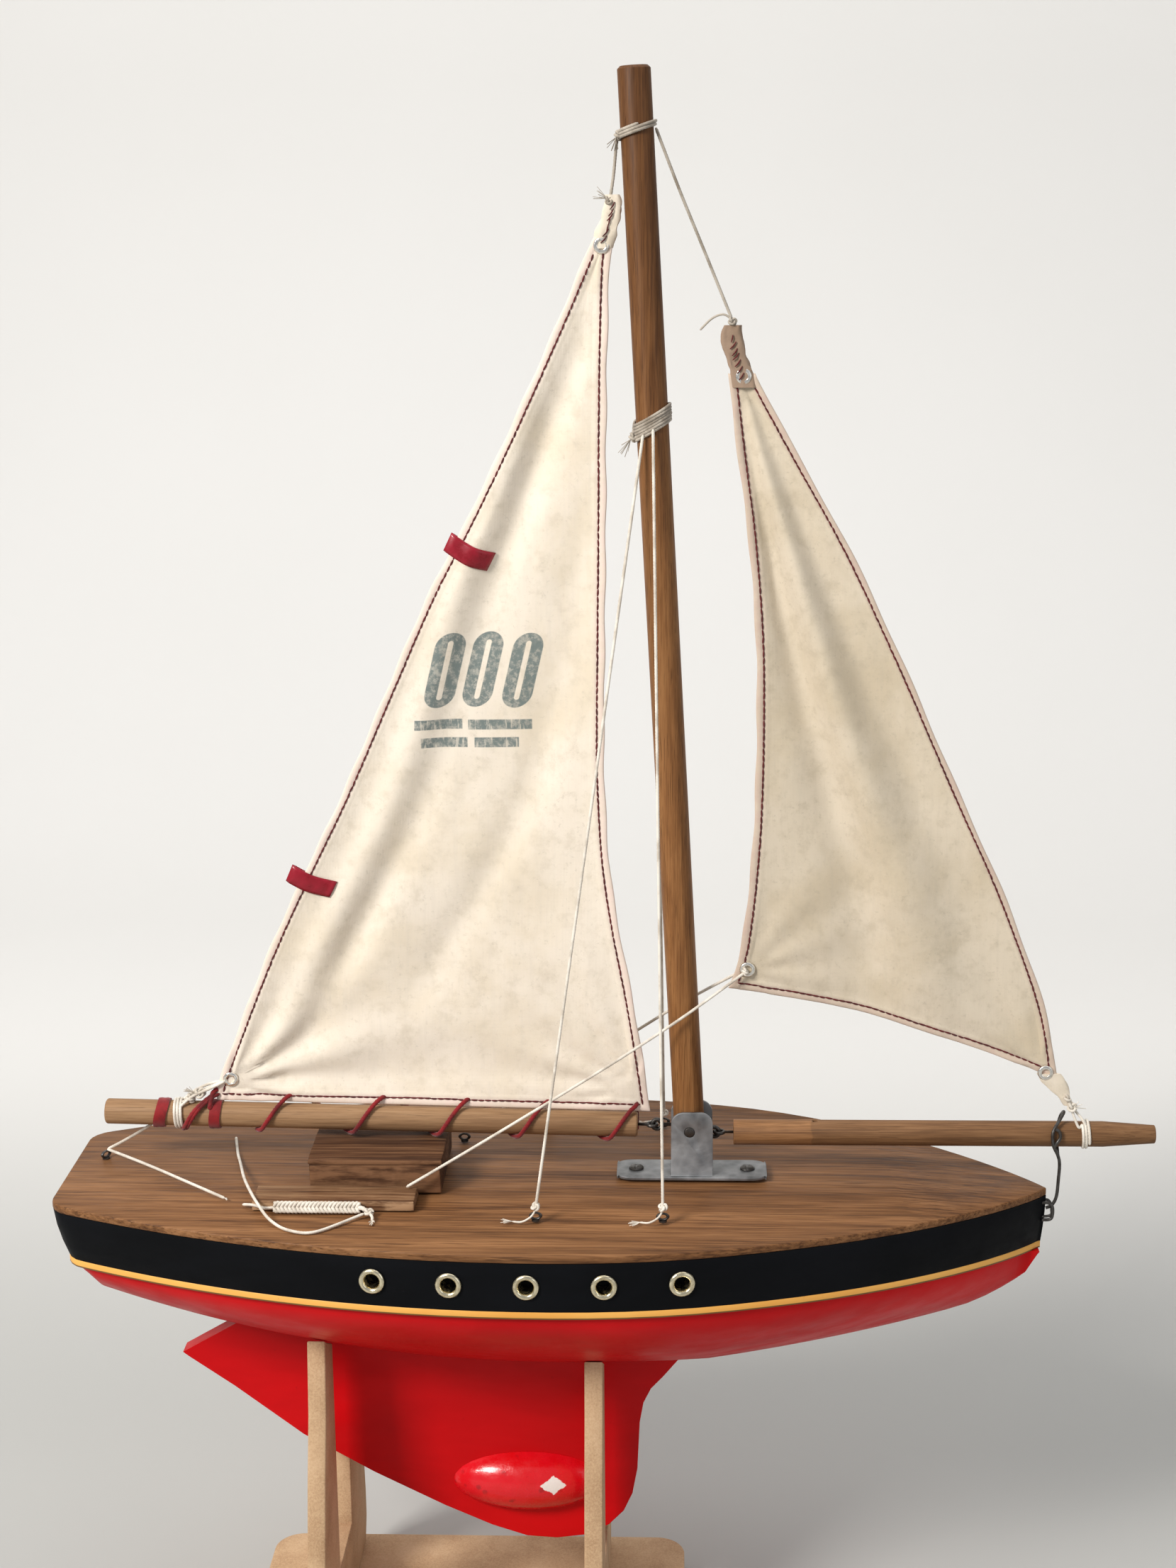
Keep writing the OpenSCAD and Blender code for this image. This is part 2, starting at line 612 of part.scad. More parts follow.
// Screw eye lying flat, its ring's centre a given distance from the spar's end
module spar_eye(reach) {
    ring(eye_ring, eye_wire);
    rotate([0, 90, 0])
    translate([0, 0, eye_ring / 2 - 0.9]) cylinder(h = reach - eye_ring / 2 + 0.9 + 6, d = eye_wire - 0.2, $fn = 24);
}
module sprit_eye() {
    reach = sprit_gap - sprit_reach - (eye_ring - eye_wire) / 2;
    color("dimgray")
    at_deck()
    translate([sprit_aft_x - reach, 0, sprit_height])
    spar_eye(reach);
}
module stem_staple() {
    color("dimgray")
    at_deck()
    translate([stem_x - 1.6, 0, -9.5])
    difference() {
        cube([5.2, 3, 6.5], center = true);
        translate([1.2, 0, 0]) cube([3.6, 4, 3.4], center = true);
    }
}
module stem_wire() {
    color("dimgray")
    at_deck()
    tube(smooth_route(stem_wire_route, 4), stem_wire_dia);
}
module deck_eye() {
    cylinder(h = 1, d = 3, $fn = 24);
    translate([0, 0, eye_height]) rotate([90, 0, 0]) ring(5, 1.2);
}
module shroud_eyes() {
    color("dimgray")
    at_deck()
    for (x = shroud_x) for (s = [-1, 1])
        translate([x, s * shroud_y, 0]) deck_eye();
}
module sheet_eyes() {
    color("dimgray")
    at_deck() {
        translate([-178.5, 9.3, 0]) rotate([0, 0, 55]) deck_eye();
        translate([port_eye_at[0], port_eye_at[1], 0]) deck_eye();
    }
}
module shroud(x, s) {
    color("white")
    at_deck()
    tube([for (f = [0 : 0.25 : 1])
        [x, s * shroud_y, eye_height + 2.2] * (1 - f)
        + [mast_at(shroud_top) + (x > shroud_x[1] ? 1.1 : -1.1) * cord_dia,
            s * (mast_dia / 2 + cord_dia + 0.3), shroud_top] * f], cord_dia);
}
module shroud_starboard_fore() {
    shroud(shroud_x[0], -1);
}
module shroud_starboard_aft() {
    shroud(shroud_x[1], -1);
}
module shroud_port_fore() {
    shroud(shroud_x[0], 1);
}
module shroud_port_aft() {
    shroud(shroud_x[1], 1);
}
module main_halyard() {
    color("white")
    at_deck()
    tube(smooth_route(main_halyard_route, 3), cord_dia);
}
module jib_halyard() {
    color("white")
    at_deck()
    tube(smooth_route(jib_halyard_route, 3), cord_dia);
}
module mainsheet() {
    color("white")
    at_deck()
    tube(smooth_route(mainsheet_route, 3), cord_dia);
}
module sheet_tail() {
    color("white")
    at_deck()
    tube(smooth_route(sheet_tail_route, 3), cord_dia);
}
module jib_sheet_starboard() {
    color("white")
    at_deck()
    tube(smooth_route(jib_sheet_route, 4), cord_dia);
}
module jib_sheet_port() {
    color("white")
    at_deck()
    tube(smooth_route(jib_sheet_far_route, 4), cord_dia);
}
module tack_lashing() {
    color("white")
    at_deck()
    for (k = [0 : 2])
        translate([203 + k * cord_dia, 0, sprit_height])
        rotate([0, 90, 0])
        ring(sprit_dia + 2 * cord_dia + 0.1, cord_dia);
}

// ---- Boom and mainsail ----
module on_boom() {
    translate(boom_fore) rotate([0, -90 + boom_slope, 0]) children();
}
module boom() {
    color("tan")
    at_deck()
    on_boom()
    difference() {
        union() {
            translate([0, 0, 0.6]) cylinder(h = boom_length - 1.2, d = boom_dia, $fn = 64);
            cylinder(h = 0.6, d1 = boom_dia - 1.2, d2 = boom_dia, $fn = 64);
            translate([0, 0, boom_length - 0.6]) cylinder(h = 0.6, d1 = boom_dia, d2 = boom_dia - 1.2, $fn = 64);
        }
        translate([0, 0, -1]) cylinder(h = 7.1, d = eye_wire - 0.1, $fn = 24);
    }
}
module boom_eye() {
    reach = boom_gap - hook_reach - (hook_ring - hook_wire) / 2;
    color("dimgray")
    at_deck()
    translate(boom_fore)
    rotate([0, boom_slope, 0])
    rotate([0, 0, 180])
    translate([-reach, 0, 0])
    spar_eye(reach);
}
// Turns of red cord that hold the foot of the mainsail to the boom
lacing_at = [7, 42, 73, 106, 142];
lacing_tilt = 28;
module foot_lacing() {
    color("darkred")
    at_deck()
    on_boom()
    for (s = lacing_at)
        translate([0, 0, s])
        rotate([0, lacing_tilt, 0])
        rotate_extrude($fn = 48)
        translate([(boom_dia / 2 + 0.7) / cos(lacing_tilt), 0])
        circle(d = 1.3, $fn = 12);
}
module clew_lashing() {
    color("white")
    at_deck()
    on_boom()
    for (k = [0 : 2])
        translate([0, 0, boom_length - 30 + k * cord_dia])
        ring(boom_dia + 2 * cord_dia + 0.1, cord_dia);
}
module outhaul_bands() {
    color("darkred")
    at_deck()
    on_boom()
    for (s = [boom_length - 24.5, boom_length - 45])
        translate([0, 0, s])
        difference() {
            cylinder(h = 4, d = boom_dia + 1.6, $fn = 48);
            translate([0, 0, -1]) cylinder(h = 6, d = boom_dia + 0.02, $fn = 48);
        }
}
module sail_solid(outline_points) {
    translate([0, sail_thickness / 2, 0])
    rotate([90, 0, 0])
    linear_extrude(sail_thickness)
    polygon(outline_points);
}
main_eyelet_at = [[-125.5, boom_at(-125.5) + 14.5], [20.5, 351]];
jib_eyelet_at = [[74, 82.5], [188, 41.5], [71, 305]];
module eyelet_holes(at) {
    for (p = at)
        translate([p[0], 0, p[1]]) rotate([90, 0, 0]) cylinder(h = 6, d = eyelet_bore + 0.6, center = true, $fn = 24);
}
module eyelets(at) {
    for (p = at)
        translate([p[0], 0, p[1]])
        rotate([90, 0, 0])
        rotate_extrude($fn = 32)
        polygon([[eyelet_bore / 2, -1], [eyelet_dia / 2 - 0.4, -1], [eyelet_dia / 2, -sail_thickness / 2],
            [eyelet_bore / 2 + 0.3, -sail_thickness / 2], [eyelet_bore / 2 + 0.3, sail_thickness / 2],
            [eyelet_dia / 2, sail_thickness / 2], [eyelet_dia / 2 - 0.4, 1], [eyelet_bore / 2, 1]]);
}
module mainsail() {
    color("linen")
    at_deck()
    difference() {
        sail_solid(main_outline);
        eyelet_holes(main_eyelet_at);
    }
}
module main_eyelets() {
    color("silver")
    at_deck()
    eyelets(main_eyelet_at);
}
// Batten tabs folded round the leech
tab_length = 18;
tab_height = 13;
tab_at = [[-28, 242], [-88, 117.5]];
module leech_tabs() {
    color("darkred")
    at_deck()
    for (t = tab_at) for (s = [-1, 1])
        translate([t[0], s * (sail_thickness / 2 + 0.3), t[1]])
        cube([tab_length, 0.6, tab_height], center = true);
}
module jib() {
    color("linen")
    at_deck()
    difference() {
        sail_solid(jib_outline);
        eyelet_holes(jib_eyelet_at);
    }
}
module jib_eyelets() {
    color("silver")
    at_deck()
    eyelets(jib_eyelet_at);
}

stand_base();
stand_cradle_aft();
stand_cradle_fore();
deck_board();
upper_hull();
stripe();
lower_hull();
keel_fin();
ballast_weights();
portholes_starboard();
portholes_port();
cabin_block();
cabin_roof();
side_bench();
braided_band();
loose_line();
mast_shoe();
shoe_screws();
mast_pin();
mast();
masthead_band();
shroud_band();
mast_hook();
sprit_hook();
bowsprit();
sprit_eye();
stem_staple();
stem_wire();
shroud_eyes();
sheet_eyes();
shroud_starboard_fore();
shroud_starboard_aft();
shroud_port_fore();
shroud_port_aft();
main_halyard();
jib_halyard();
mainsheet();
sheet_tail();
jib_sheet_starboard();
jib_sheet_port();
tack_lashing();
boom();
boom_eye();
foot_lacing();
clew_lashing();
outhaul_bands();
mainsail();
main_eyelets();
leech_tabs();
jib();
jib_eyelets();
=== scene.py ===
"""Toy sailing boat on its stand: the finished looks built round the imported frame."""
import json
import math
import random

import bmesh
import bpy
from bpy.props import FloatProperty, FloatVectorProperty, PointerProperty
from bpy.types import Operator, Panel, PropertyGroup
from mathutils import Matrix, Vector, noise

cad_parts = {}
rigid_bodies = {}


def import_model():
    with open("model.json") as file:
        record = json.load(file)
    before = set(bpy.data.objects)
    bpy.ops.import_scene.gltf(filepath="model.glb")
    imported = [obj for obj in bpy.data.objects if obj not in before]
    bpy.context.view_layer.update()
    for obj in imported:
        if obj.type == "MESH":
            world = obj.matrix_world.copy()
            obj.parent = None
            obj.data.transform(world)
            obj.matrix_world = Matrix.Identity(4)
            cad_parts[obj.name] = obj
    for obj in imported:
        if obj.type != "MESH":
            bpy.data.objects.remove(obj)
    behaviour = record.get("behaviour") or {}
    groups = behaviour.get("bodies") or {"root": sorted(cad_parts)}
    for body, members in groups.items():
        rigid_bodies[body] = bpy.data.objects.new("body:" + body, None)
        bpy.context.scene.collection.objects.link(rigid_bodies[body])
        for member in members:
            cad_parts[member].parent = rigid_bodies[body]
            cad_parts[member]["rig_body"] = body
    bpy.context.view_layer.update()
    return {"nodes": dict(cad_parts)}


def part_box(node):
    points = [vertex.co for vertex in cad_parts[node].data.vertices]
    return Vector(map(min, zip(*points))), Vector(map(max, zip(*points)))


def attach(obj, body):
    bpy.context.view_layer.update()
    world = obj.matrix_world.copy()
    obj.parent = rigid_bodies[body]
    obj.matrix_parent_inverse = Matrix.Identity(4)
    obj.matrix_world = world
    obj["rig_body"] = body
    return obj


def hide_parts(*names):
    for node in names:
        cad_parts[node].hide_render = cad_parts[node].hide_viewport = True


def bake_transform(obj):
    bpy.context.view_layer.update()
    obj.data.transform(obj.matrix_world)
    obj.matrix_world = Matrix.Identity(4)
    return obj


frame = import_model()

bl_info = {
    "name": "Toy Sailing Boat",
    "version": (1, 0, 0),
    "blender": (4, 5, 0),
    "location": "View3D > Sidebar > Boat",
    "description": "Builds the hull, spars, sails, rigging and stand of a toy sailing boat",
    "category": "Object",
}

NODES = frame["nodes"]
MM = 0.001
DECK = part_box("deck_board")[1].z / MM

# Rig measures, in millimetres, with heights above the deck
RAKE = math.tan(math.radians(2.9))
SLOPE = math.tan(math.radians(1.2))
MAST_X = 53
MAST_R = 5.9
MAST_AXIS = (-RAKE, 0, 1)
BOOM_R = 4.9
BOOM_FORE = Vector((32.11, 0, 19.5))
SPRIT_Z = 16.5
LIFT_JOINT = -25
BOW_DROOP = 5.8
CORD_STEP = 0.45
TURN_POINTS = 26
ALONG_X = (1, 0, 0)


def mast_at(z):
    """Where the raked mast's axis stands, fore and aft, at a height."""
    return MAST_X - z * RAKE


def boom_at(x):
    """The height of the boom's axis at a station."""
    return BOOM_FORE.z + (BOOM_FORE.x - x) * SLOPE


def at(x, y, z):
    """A point given in millimetres from the deck's centre, in the row frame."""
    return Vector((x, y, z + DECK)) * MM


def droop(x):
    """How far the bow dips at a station."""
    return BOW_DROOP * max(0.0, (x - 70) / 120) ** 1.7


# ---------------------------------------------------------------- settings


def measure(name, about, default):
    return FloatProperty(name=name, description=about, default=default, unit="LENGTH")


def colouring(name, about, default):
    return FloatVectorProperty(name=name, description=about, subtype="COLOR", default=default)


class BoatSizes(PropertyGroup):
    cord: measure("Cord", "Diameter of the white rigging cord", 0.0012)
    stitch: measure("Stitch", "Length of one stitch in the seams", 0.0025)
    hem: measure("Hem", "Distance of the seam from the sail's edge", 0.0028)
    main_belly: measure("Main belly", "Depth of the mainsail's curve", 0.0030)
    jib_fold: measure("Jib fold", "Height of the long soft fold in the jib", 0.0056)
    edge: measure("Worn edge", "Rounding of the wooden edges", 0.0005)


class BoatColours(PropertyGroup):
    red: colouring("Red", "Bottom and keel paint", (0.60, 0.0018, 0.0045))
    black: colouring("Black", "Topside paint", (0.0024, 0.0027, 0.0034))
    yellow: colouring("Yellow", "Waterline stripe", (0.80, 0.42, 0.095))
    cloth: colouring("Sailcloth", "Cotton of the sails", (0.80, 0.715, 0.60))
    thread: colouring("Thread", "Seam thread", (0.115, 0.007, 0.007))


def colours():
    return bpy.context.scene.boat_colours


def sizes():
    return bpy.context.scene.boat_sizes


# ---------------------------------------------------------------- finishes


class Finish:
    """A material with the few node patterns that the boat's finishes share."""

    def __init__(self, name, roughness=0.5, **sockets):
        self.mat = bpy.data.materials.new(name)
        self.mat.use_nodes = True
        self.tree = self.mat.node_tree
        self.bsdf = self.tree.nodes["Principled BSDF"]
        self.bsdf.inputs["Roughness"].default_value = roughness
        for key, value in sockets.items():
            self.bsdf.inputs[key.replace("_", " ")].default_value = value
        self.coords = self.tree.nodes.new("ShaderNodeTexCoord").outputs["Object"]

    def node(self, kind, **values):
        n = self.tree.nodes.new("ShaderNode" + kind)
        for key, value in values.items():
            setattr(n, key, value)
        return n

    def plug(self, socket, value):
        if isinstance(value, bpy.types.NodeSocket):
            self.tree.links.new(value, socket)
        else:
            socket.default_value = value

    def place(self, scale=(1, 1, 1), turn=(0, 0, 0), shift=(0, 0, 0)):
        n = self.node("Mapping")
        self.plug(n.inputs["Vector"], self.coords)
        n.inputs["Scale"].default_value = scale
        n.inputs["Rotation"].default_value = turn
        n.inputs["Location"].default_value = shift
        return n.outputs[0]

    def noise(self, vector, scale, detail=4.0, rough=0.55, distortion=0.0):
        n = self.node("TexNoise")
        self.plug(n.inputs["Vector"], vector)
        n.inputs["Scale"].default_value = scale
        n.inputs["Detail"].default_value = detail
        n.inputs["Roughness"].default_value = rough
        n.inputs["Distortion"].default_value = distortion
        return n.outputs["Fac"]

    def bands(self, vector, scale, direction="X", distortion=0.0, detail=2.0, detail_scale=1.0):
        n = self.node("TexWave", bands_direction=direction)
        self.plug(n.inputs["Vector"], vector)
        n.inputs["Scale"].default_value = scale
        n.inputs["Distortion"].default_value = distortion
        n.inputs["Detail"].default_value = detail
        n.inputs["Detail Scale"].default_value = detail_scale
        return n.outputs["Fac"]

    def cells(self, vector, scale):
        n = self.node("TexVoronoi")
        self.plug(n.inputs["Vector"], vector)
        n.inputs["Scale"].default_value = scale
        return n.outputs["Distance"]

    def ramp(self, fac, *stops):
        n = self.node("ValToRGB")
        self.plug(n.inputs["Fac"], fac)
        while len(n.color_ramp.elements) < len(stops):
            n.color_ramp.elements.new(0.5)
        for e, (place, value) in zip(n.color_ramp.elements, stops):
            e.position = place
            e.color = (*value, 1)
        return n.outputs["Color"]

    def mix(self, fac, a, b, kind="MIX"):
        n = self.node("Mix", data_type="RGBA", blend_type=kind, clamp_factor=True)
        self.plug(n.inputs["Factor"], fac)
        for key, value in (("A", a), ("B", b)):
            socket = [s for s in n.inputs if s.name == key and s.type == "RGBA"][0]
            self.plug(socket, (*value, 1) if isinstance(value, (tuple, list)) and len(value) == 3 else value)
        return [s for s in n.outputs if s.type == "RGBA"][0]

    def maths(self, kind, a, b=None, clamp=False):
        n = self.node("Math", operation=kind, use_clamp=clamp)
        self.plug(n.inputs[0], a)
        if b is not None:
            self.plug(n.inputs[1], b)
        return n.outputs[0]

    def plus(self, a, b):
        return self.maths("ADD", a, b)

    def times(self, a, b):
        return self.maths("MULTIPLY", a, b)

    def split(self, vector=None):
        n = self.node("SeparateXYZ")
        self.plug(n.inputs[0], self.coords if vector is None else vector)
        return n.outputs

    def step(self, value, low, high, start=0.0, end=1.0):
        n = self.node("MapRange", interpolation_type="SMOOTHSTEP")
        self.plug(n.inputs["Value"], value)
        for key, v in (("From Min", low), ("From Max", high), ("To Min", start), ("To Max", end)):
            n.inputs[key].default_value = v
        return n.outputs["Result"]

    def bump(self, *layers):
        """Height layers as (height, strength, distance), laid over each other."""
        normal = None
        for height, strength, distance in layers:
            n = self.node("Bump")
            self.plug(n.inputs["Height"], height)
            n.inputs["Strength"].default_value = strength
            n.inputs["Distance"].default_value = distance
            if normal is not None:
                self.plug(n.inputs["Normal"], normal)
            normal = n.outputs[0]
        self.plug(self.bsdf.inputs["Normal"], normal)

    def colour(self, value):
        self.plug(self.bsdf.inputs["Base Color"], value)

    def rough(self, value):
        self.plug(self.bsdf.inputs["Roughness"], value)


MADE = {}


def finish_of(make):
    """Makes a finish the first time it is asked for, and hands it out again after that."""

    def wrapped(*args, **options):
        key = (make.__name__, args, tuple(sorted(options.items())))
        if key not in MADE:
            MADE[key] = make(*args, **options).mat
        return MADE[key]

    return wrapped


@finish_of
def wood(name, dark, mid, light, along="X", fine=1.0, roughness=0.42, coat=0.35, wear=0.25, patch=None,
        front=None):
    f = Finish(name, roughness, Coat_Weight=coat, Coat_Roughness=0.34, Specular_IOR_Level=0.16)
    short = {"X": (0.10, 1, 1), "Z": (1, 1, 0.10)}[along]
    long = {"X": (0.022, 1, 1), "Z": (1, 1, 0.022)}[along]
    sweep = f.noise(f.place(short), 85 * fine, 5, 0.65, 0.5)
    fibre = f.noise(f.place(long), 1500 * fine, 4, 0.65)
    streak = f.noise(f.place(long, shift=(0.3, 0.1, 0.2)), 900 * fine, 4, 0.65)
    pores = f.step(f.noise(f.place(long), 1900 * fine, 2, 0.5), 0.585, 0.66)
    figure = f.plus(f.plus(f.times(sweep, 0.42), f.times(streak, 0.36)), f.times(fibre, 0.22))
    base = f.ramp(figure, (0.41, dark), (0.50, mid), (0.60, light))
    base = f.mix(f.times(pores, 0.62), base, tuple(c * 0.55 for c in dark))
    tone = f.noise(f.place(short), 16, 3, 0.5)
    base = f.mix(f.step(tone, 0.42, 0.72, 0.0, 0.35), base, tuple(c * 0.72 for c in mid))
    if patch:
        axis, start, end, tint = patch
        ragged = f.plus(f.split()[axis], f.times(f.noise(f.place(), 160, 3, 0.6), 0.004))
        base = f.mix(f.step(ragged, start, end), base, f.mix(1.0, base, tint, "MULTIPLY"))
    # Faces turned to starboard, towards the key lamp, take a lighter colour in patches: painted light on the
    # side that the lamp falls on.
    if front:
        facing = f.split(f.node("NewGeometry").outputs["Normal"])["Y"]
        patchy = f.step(f.noise(f.place((0.2, 1, 1)), 260, 4, 0.65), 0.36, 0.60)
        base = f.mix(f.times(f.step(facing, -0.75, -0.45, 1.0, 0.0), patchy), base, front)
    dirt = f.step(f.noise(f.place(short), 95, 5, 0.7), 0.58, 0.72)
    f.colour(f.mix(f.times(dirt, wear), base, tuple(c * 0.5 for c in dark)))
    f.rough(f.step(fibre, 0.3, 0.7, roughness - 0.06, roughness + 0.16))
    f.bump((fibre, 0.35, 0.00012), (pores, -0.35, 0.00015), (sweep, 0.12, 0.0004))
    return f


@finish_of
def board(name):
    """Bare pressed fibre board."""
    f = Finish(name, 0.82, Specular_IOR_Level=0.2)
    fleck = f.noise(f.place(), 1400, 3, 0.7)
    cloud = f.noise(f.place(), 38, 4, 0.6)
    base = f.ramp(f.plus(f.times(fleck, 0.45), f.times(cloud, 0.55)),
        (0.34, (0.36, 0.22, 0.12)), (0.52, (0.52, 0.35, 0.205)), (0.70, (0.62, 0.44, 0.28)))
    f.colour(base)
    f.bump((fleck, 0.4, 0.0001), (cloud, 0.15, 0.0004))
    return f


@finish_of
def paint(name, base, shade, roughness=0.3, coat=0.5, scuff=(0, 0, 0), scuffs=0.0, shine=0.3, line=None):
    f = Finish(name, roughness, Coat_Weight=coat, Coat_Roughness=0.16, Specular_IOR_Level=shine)
    drift = f.noise(f.place((0.35, 1, 1)), 26, 4, 0.6, 0.4)
    peel = f.noise(f.place(), 520, 3, 0.5)
    grain = f.noise(f.place((0.03, 1, 1)), 420, 4, 0.6)
    colour = f.mix(f.step(drift, 0.32, 0.70), base, shade)
    speck = f.step(f.noise(f.place(), 330, 4, 0.7), 0.66, 0.74)
    colour = f.mix(f.times(speck, scuffs), colour, scuff)
    # Below the height given by line, the colour falls almost to black: painted shade in the step down to the
    # lift beneath.
    if line is not None:
        height = f.node("Attribute", attribute_name="height", attribute_type="GEOMETRY").outputs["Fac"]
        colour = f.mix(f.step(height, line - 0.12, line + 0.12, 0.85, 0.0), colour,
            tuple(c * 0.06 for c in base))
    f.colour(colour)
    f.rough(f.step(f.noise(f.place((0.4, 1, 1)), 90, 5, 0.65), 0.3, 0.75, max(0.05, roughness - 0.08),
        roughness + 0.14))
    f.bump((peel, 0.10, 0.00018), (grain, 0.16, 0.00012), (drift, 0.10, 0.0012))
    return f


@finish_of
def zinc(name):
    f = Finish(name, 0.5, Metallic=0.75)
    crystal = f.cells(f.place((1, 1, 0.7)), 260)
    cloud = f.noise(f.place(), 75, 6, 0.65, 0.5)
    scratch = f.noise(f.place((0.10, 1, 1), (0.2, 0.5, 0.3)), 900, 3, 0.6)
    tone = f.plus(f.times(cloud, 0.75), f.times(crystal, 0.25))
    base = f.ramp(tone, (0.25, (0.10, 0.105, 0.11)), (0.48, (0.22, 0.225, 0.23)), (0.75, (0.36, 0.365, 0.37)))
    f.colour(base)
    f.rough(f.step(cloud, 0.3, 0.7, 0.38, 0.66))
    f.bump((scratch, 0.25, 0.00008), (cloud, 0.18, 0.0003))
    return f


@finish_of
def metal(name, bright, dull, roughness=0.25, tarnish=0.5, metallic=1.0):
    f = Finish(name, roughness, Metallic=metallic)
    stain = f.noise(f.place(), 380, 5, 0.65, 0.4)
    scratch = f.noise(f.place((1, 0.12, 1)), 2400, 2, 0.6)
    f.colour(f.mix(f.step(stain, 0.60 - tarnish * 0.4, 0.80), bright, dull))
    f.rough(f.step(stain, 0.35, 0.75, roughness * 0.7, roughness + 0.28))
    f.bump((scratch, 0.12, 0.00004), (stain, 0.15, 0.00008))
    return f


@finish_of
def yarn(name, light, shade, roughness=0.85, fuzz=0.5):
    f = Finish(name, roughness, Sheen_Weight=0.25, Sheen_Roughness=0.5, Specular_IOR_Level=0.25)
    fibre = f.noise(f.place(), 2600, 3, 0.7)
    soil = f.noise(f.place(), 120, 4, 0.6)
    f.colour(f.mix(f.maths("ADD", f.step(soil, 0.38, 0.72), f.times(fibre, 0.35), clamp=True), light, shade))
    f.bump((fibre, fuzz, 0.00012))
    return f


@finish_of
def tape(name):
    f = Finish(name, 0.34, Coat_Weight=0.25, Coat_Roughness=0.2, Specular_IOR_Level=0.3)
    weave = f.bands(f.place(), 900, "Z")
    cloud = f.noise(f.place(), 160, 4, 0.6)
    f.colour(f.mix(f.step(cloud, 0.35, 0.7), (0.20, 0.003, 0.010), (0.30, 0.006, 0.020)))
    f.rough(f.step(cloud, 0.3, 0.7, 0.22, 0.40))
    f.bump((weave, 0.10, 0.00006), (cloud, 0.2, 0.0003))
    return f


@finish_of
def sailcloth(name, cloth, tint, printed=False, shade=1.0):
    """Plain-woven cotton, a little soiled, with a stencilled mark where asked."""
    f = Finish(name, 0.9, Sheen_Weight=0.15, Specular_IOR_Level=0.15)
    x, y, z = f.split()
    weft = f.bands(f.place(), 560, "Z", 0.6, 2, 3)
    warp = f.bands(f.place(), 560, "X", 0.6, 2, 3)
    weave = f.times(weft, warp)
    slub = f.noise(f.place((1, 1, 0.06)), 620, 3, 0.6)
    soil = f.noise(f.place(), 22, 6, 0.62, 0.3)
    mottle = f.noise(f.place(), 150, 5, 0.7)
    low = tuple(c * k for c, k in zip(cloth, (0.90 * shade, 0.875 * shade, 0.815 * shade)))
    base = f.mix(f.step(soil, 0.38, 0.68), cloth, low)
    base = f.mix(f.step(mottle, 0.46, 0.72, 0.0, 0.55), base, tuple(c * 0.84 for c in low))
    speck = f.step(f.noise(f.place(), 520, 4, 0.75), 0.56, 0.70)
    base = f.mix(f.times(speck, 0.32), base, tuple(c * 0.66 for c in low))
    base = f.mix(f.times(f.step(slub, 0.45, 0.75), 0.22), base, tuple(c * 0.80 for c in cloth))
    spot = f.step(f.cells(f.place(), 34), 0.020, 0.045, 1.0, 0.0)
    keep = f.step(f.noise(f.place(), 40, 1, 0.5), 0.55, 0.60)
    base = f.mix(f.times(f.times(spot, keep), 0.55), base, (0.22, 0.15, 0.09))
    # The hem is double cloth, a touch pinker and darker in patches: painted shade where the two layers hold
    # back the light from behind
    rim = f.node("Attribute", attribute_name="rim", attribute_type="GEOMETRY").outputs["Fac"]
    hem_shade = f.step(f.noise(f.place(), 210, 4, 0.6), 0.35, 0.75, 0.45, 1.0)
    base = f.mix(f.times(rim, hem_shade), base, tint)
    if printed:
        ink = 0.0
        # Three leaning open ovals, each a ring round a narrow slot, stamped in a row
        for cx, cz in ((-38.6, 198.1), (-24.7, 198.1), (-9.9, 197.7)):
            up = f.plus(z, -(cz + DECK) * MM)
            across = f.maths("SUBTRACT", f.plus(x, -cx * MM), f.times(up, 0.24))
            ink = f.maths("MAXIMUM", ink, stamp(f, across, up))
        for x0, x1, cz in ((-50.5, -32.8, 177.4), (-30.6, -6.8, 177.1), (-48.2, -31.0, 170.4),
                (-28.4, -11.8, 170.3)):
            ink = f.maths("MAXIMUM", ink, bar(f, x, z, x0, x1, cz))
        worn = f.step(f.noise(f.place(), 420, 5, 0.75), 0.36, 0.56, 0.62, 1.0)
        ink = f.times(ink, worn)
        facing = f.node("NewGeometry").outputs["Normal"]
        near = f.step(f.split(facing)[1], -0.3, 0.3, 0.92, 0.22)
        shade_of_ink = f.mix(f.noise(f.place(), 260, 4, 0.6), (0.085, 0.125, 0.125), (0.16, 0.205, 0.200))
        base = f.mix(f.times(ink, near), base, shade_of_ink)
    f.colour(base)
    f.bump((weave, 0.35, 0.00010), (slub, 0.2, 0.00010), (f.noise(f.place(), 90, 4, 0.6), 0.22, 0.0008))
    return f


def stamp(f, px, pz):
    """Ink of one tall oval ring, 14 mm wide and 28 mm high with a narrow slot."""
    inside = []
    for half_w, half_h in ((0.0056, 0.0142), (0.0010, 0.0112)):
        run = half_h - half_w
        dz = f.maths("MAXIMUM", f.maths("SUBTRACT", f.maths("ABSOLUTE", pz), run), 0.0)
        far = f.maths("SQRT", f.plus(f.times(px, px), f.times(dz, dz)))
        inside.append(f.step(far, half_w - 0.00018, half_w + 0.00018, 1.0, 0.0))
    return f.maths("SUBTRACT", inside[0], inside[1], clamp=True)


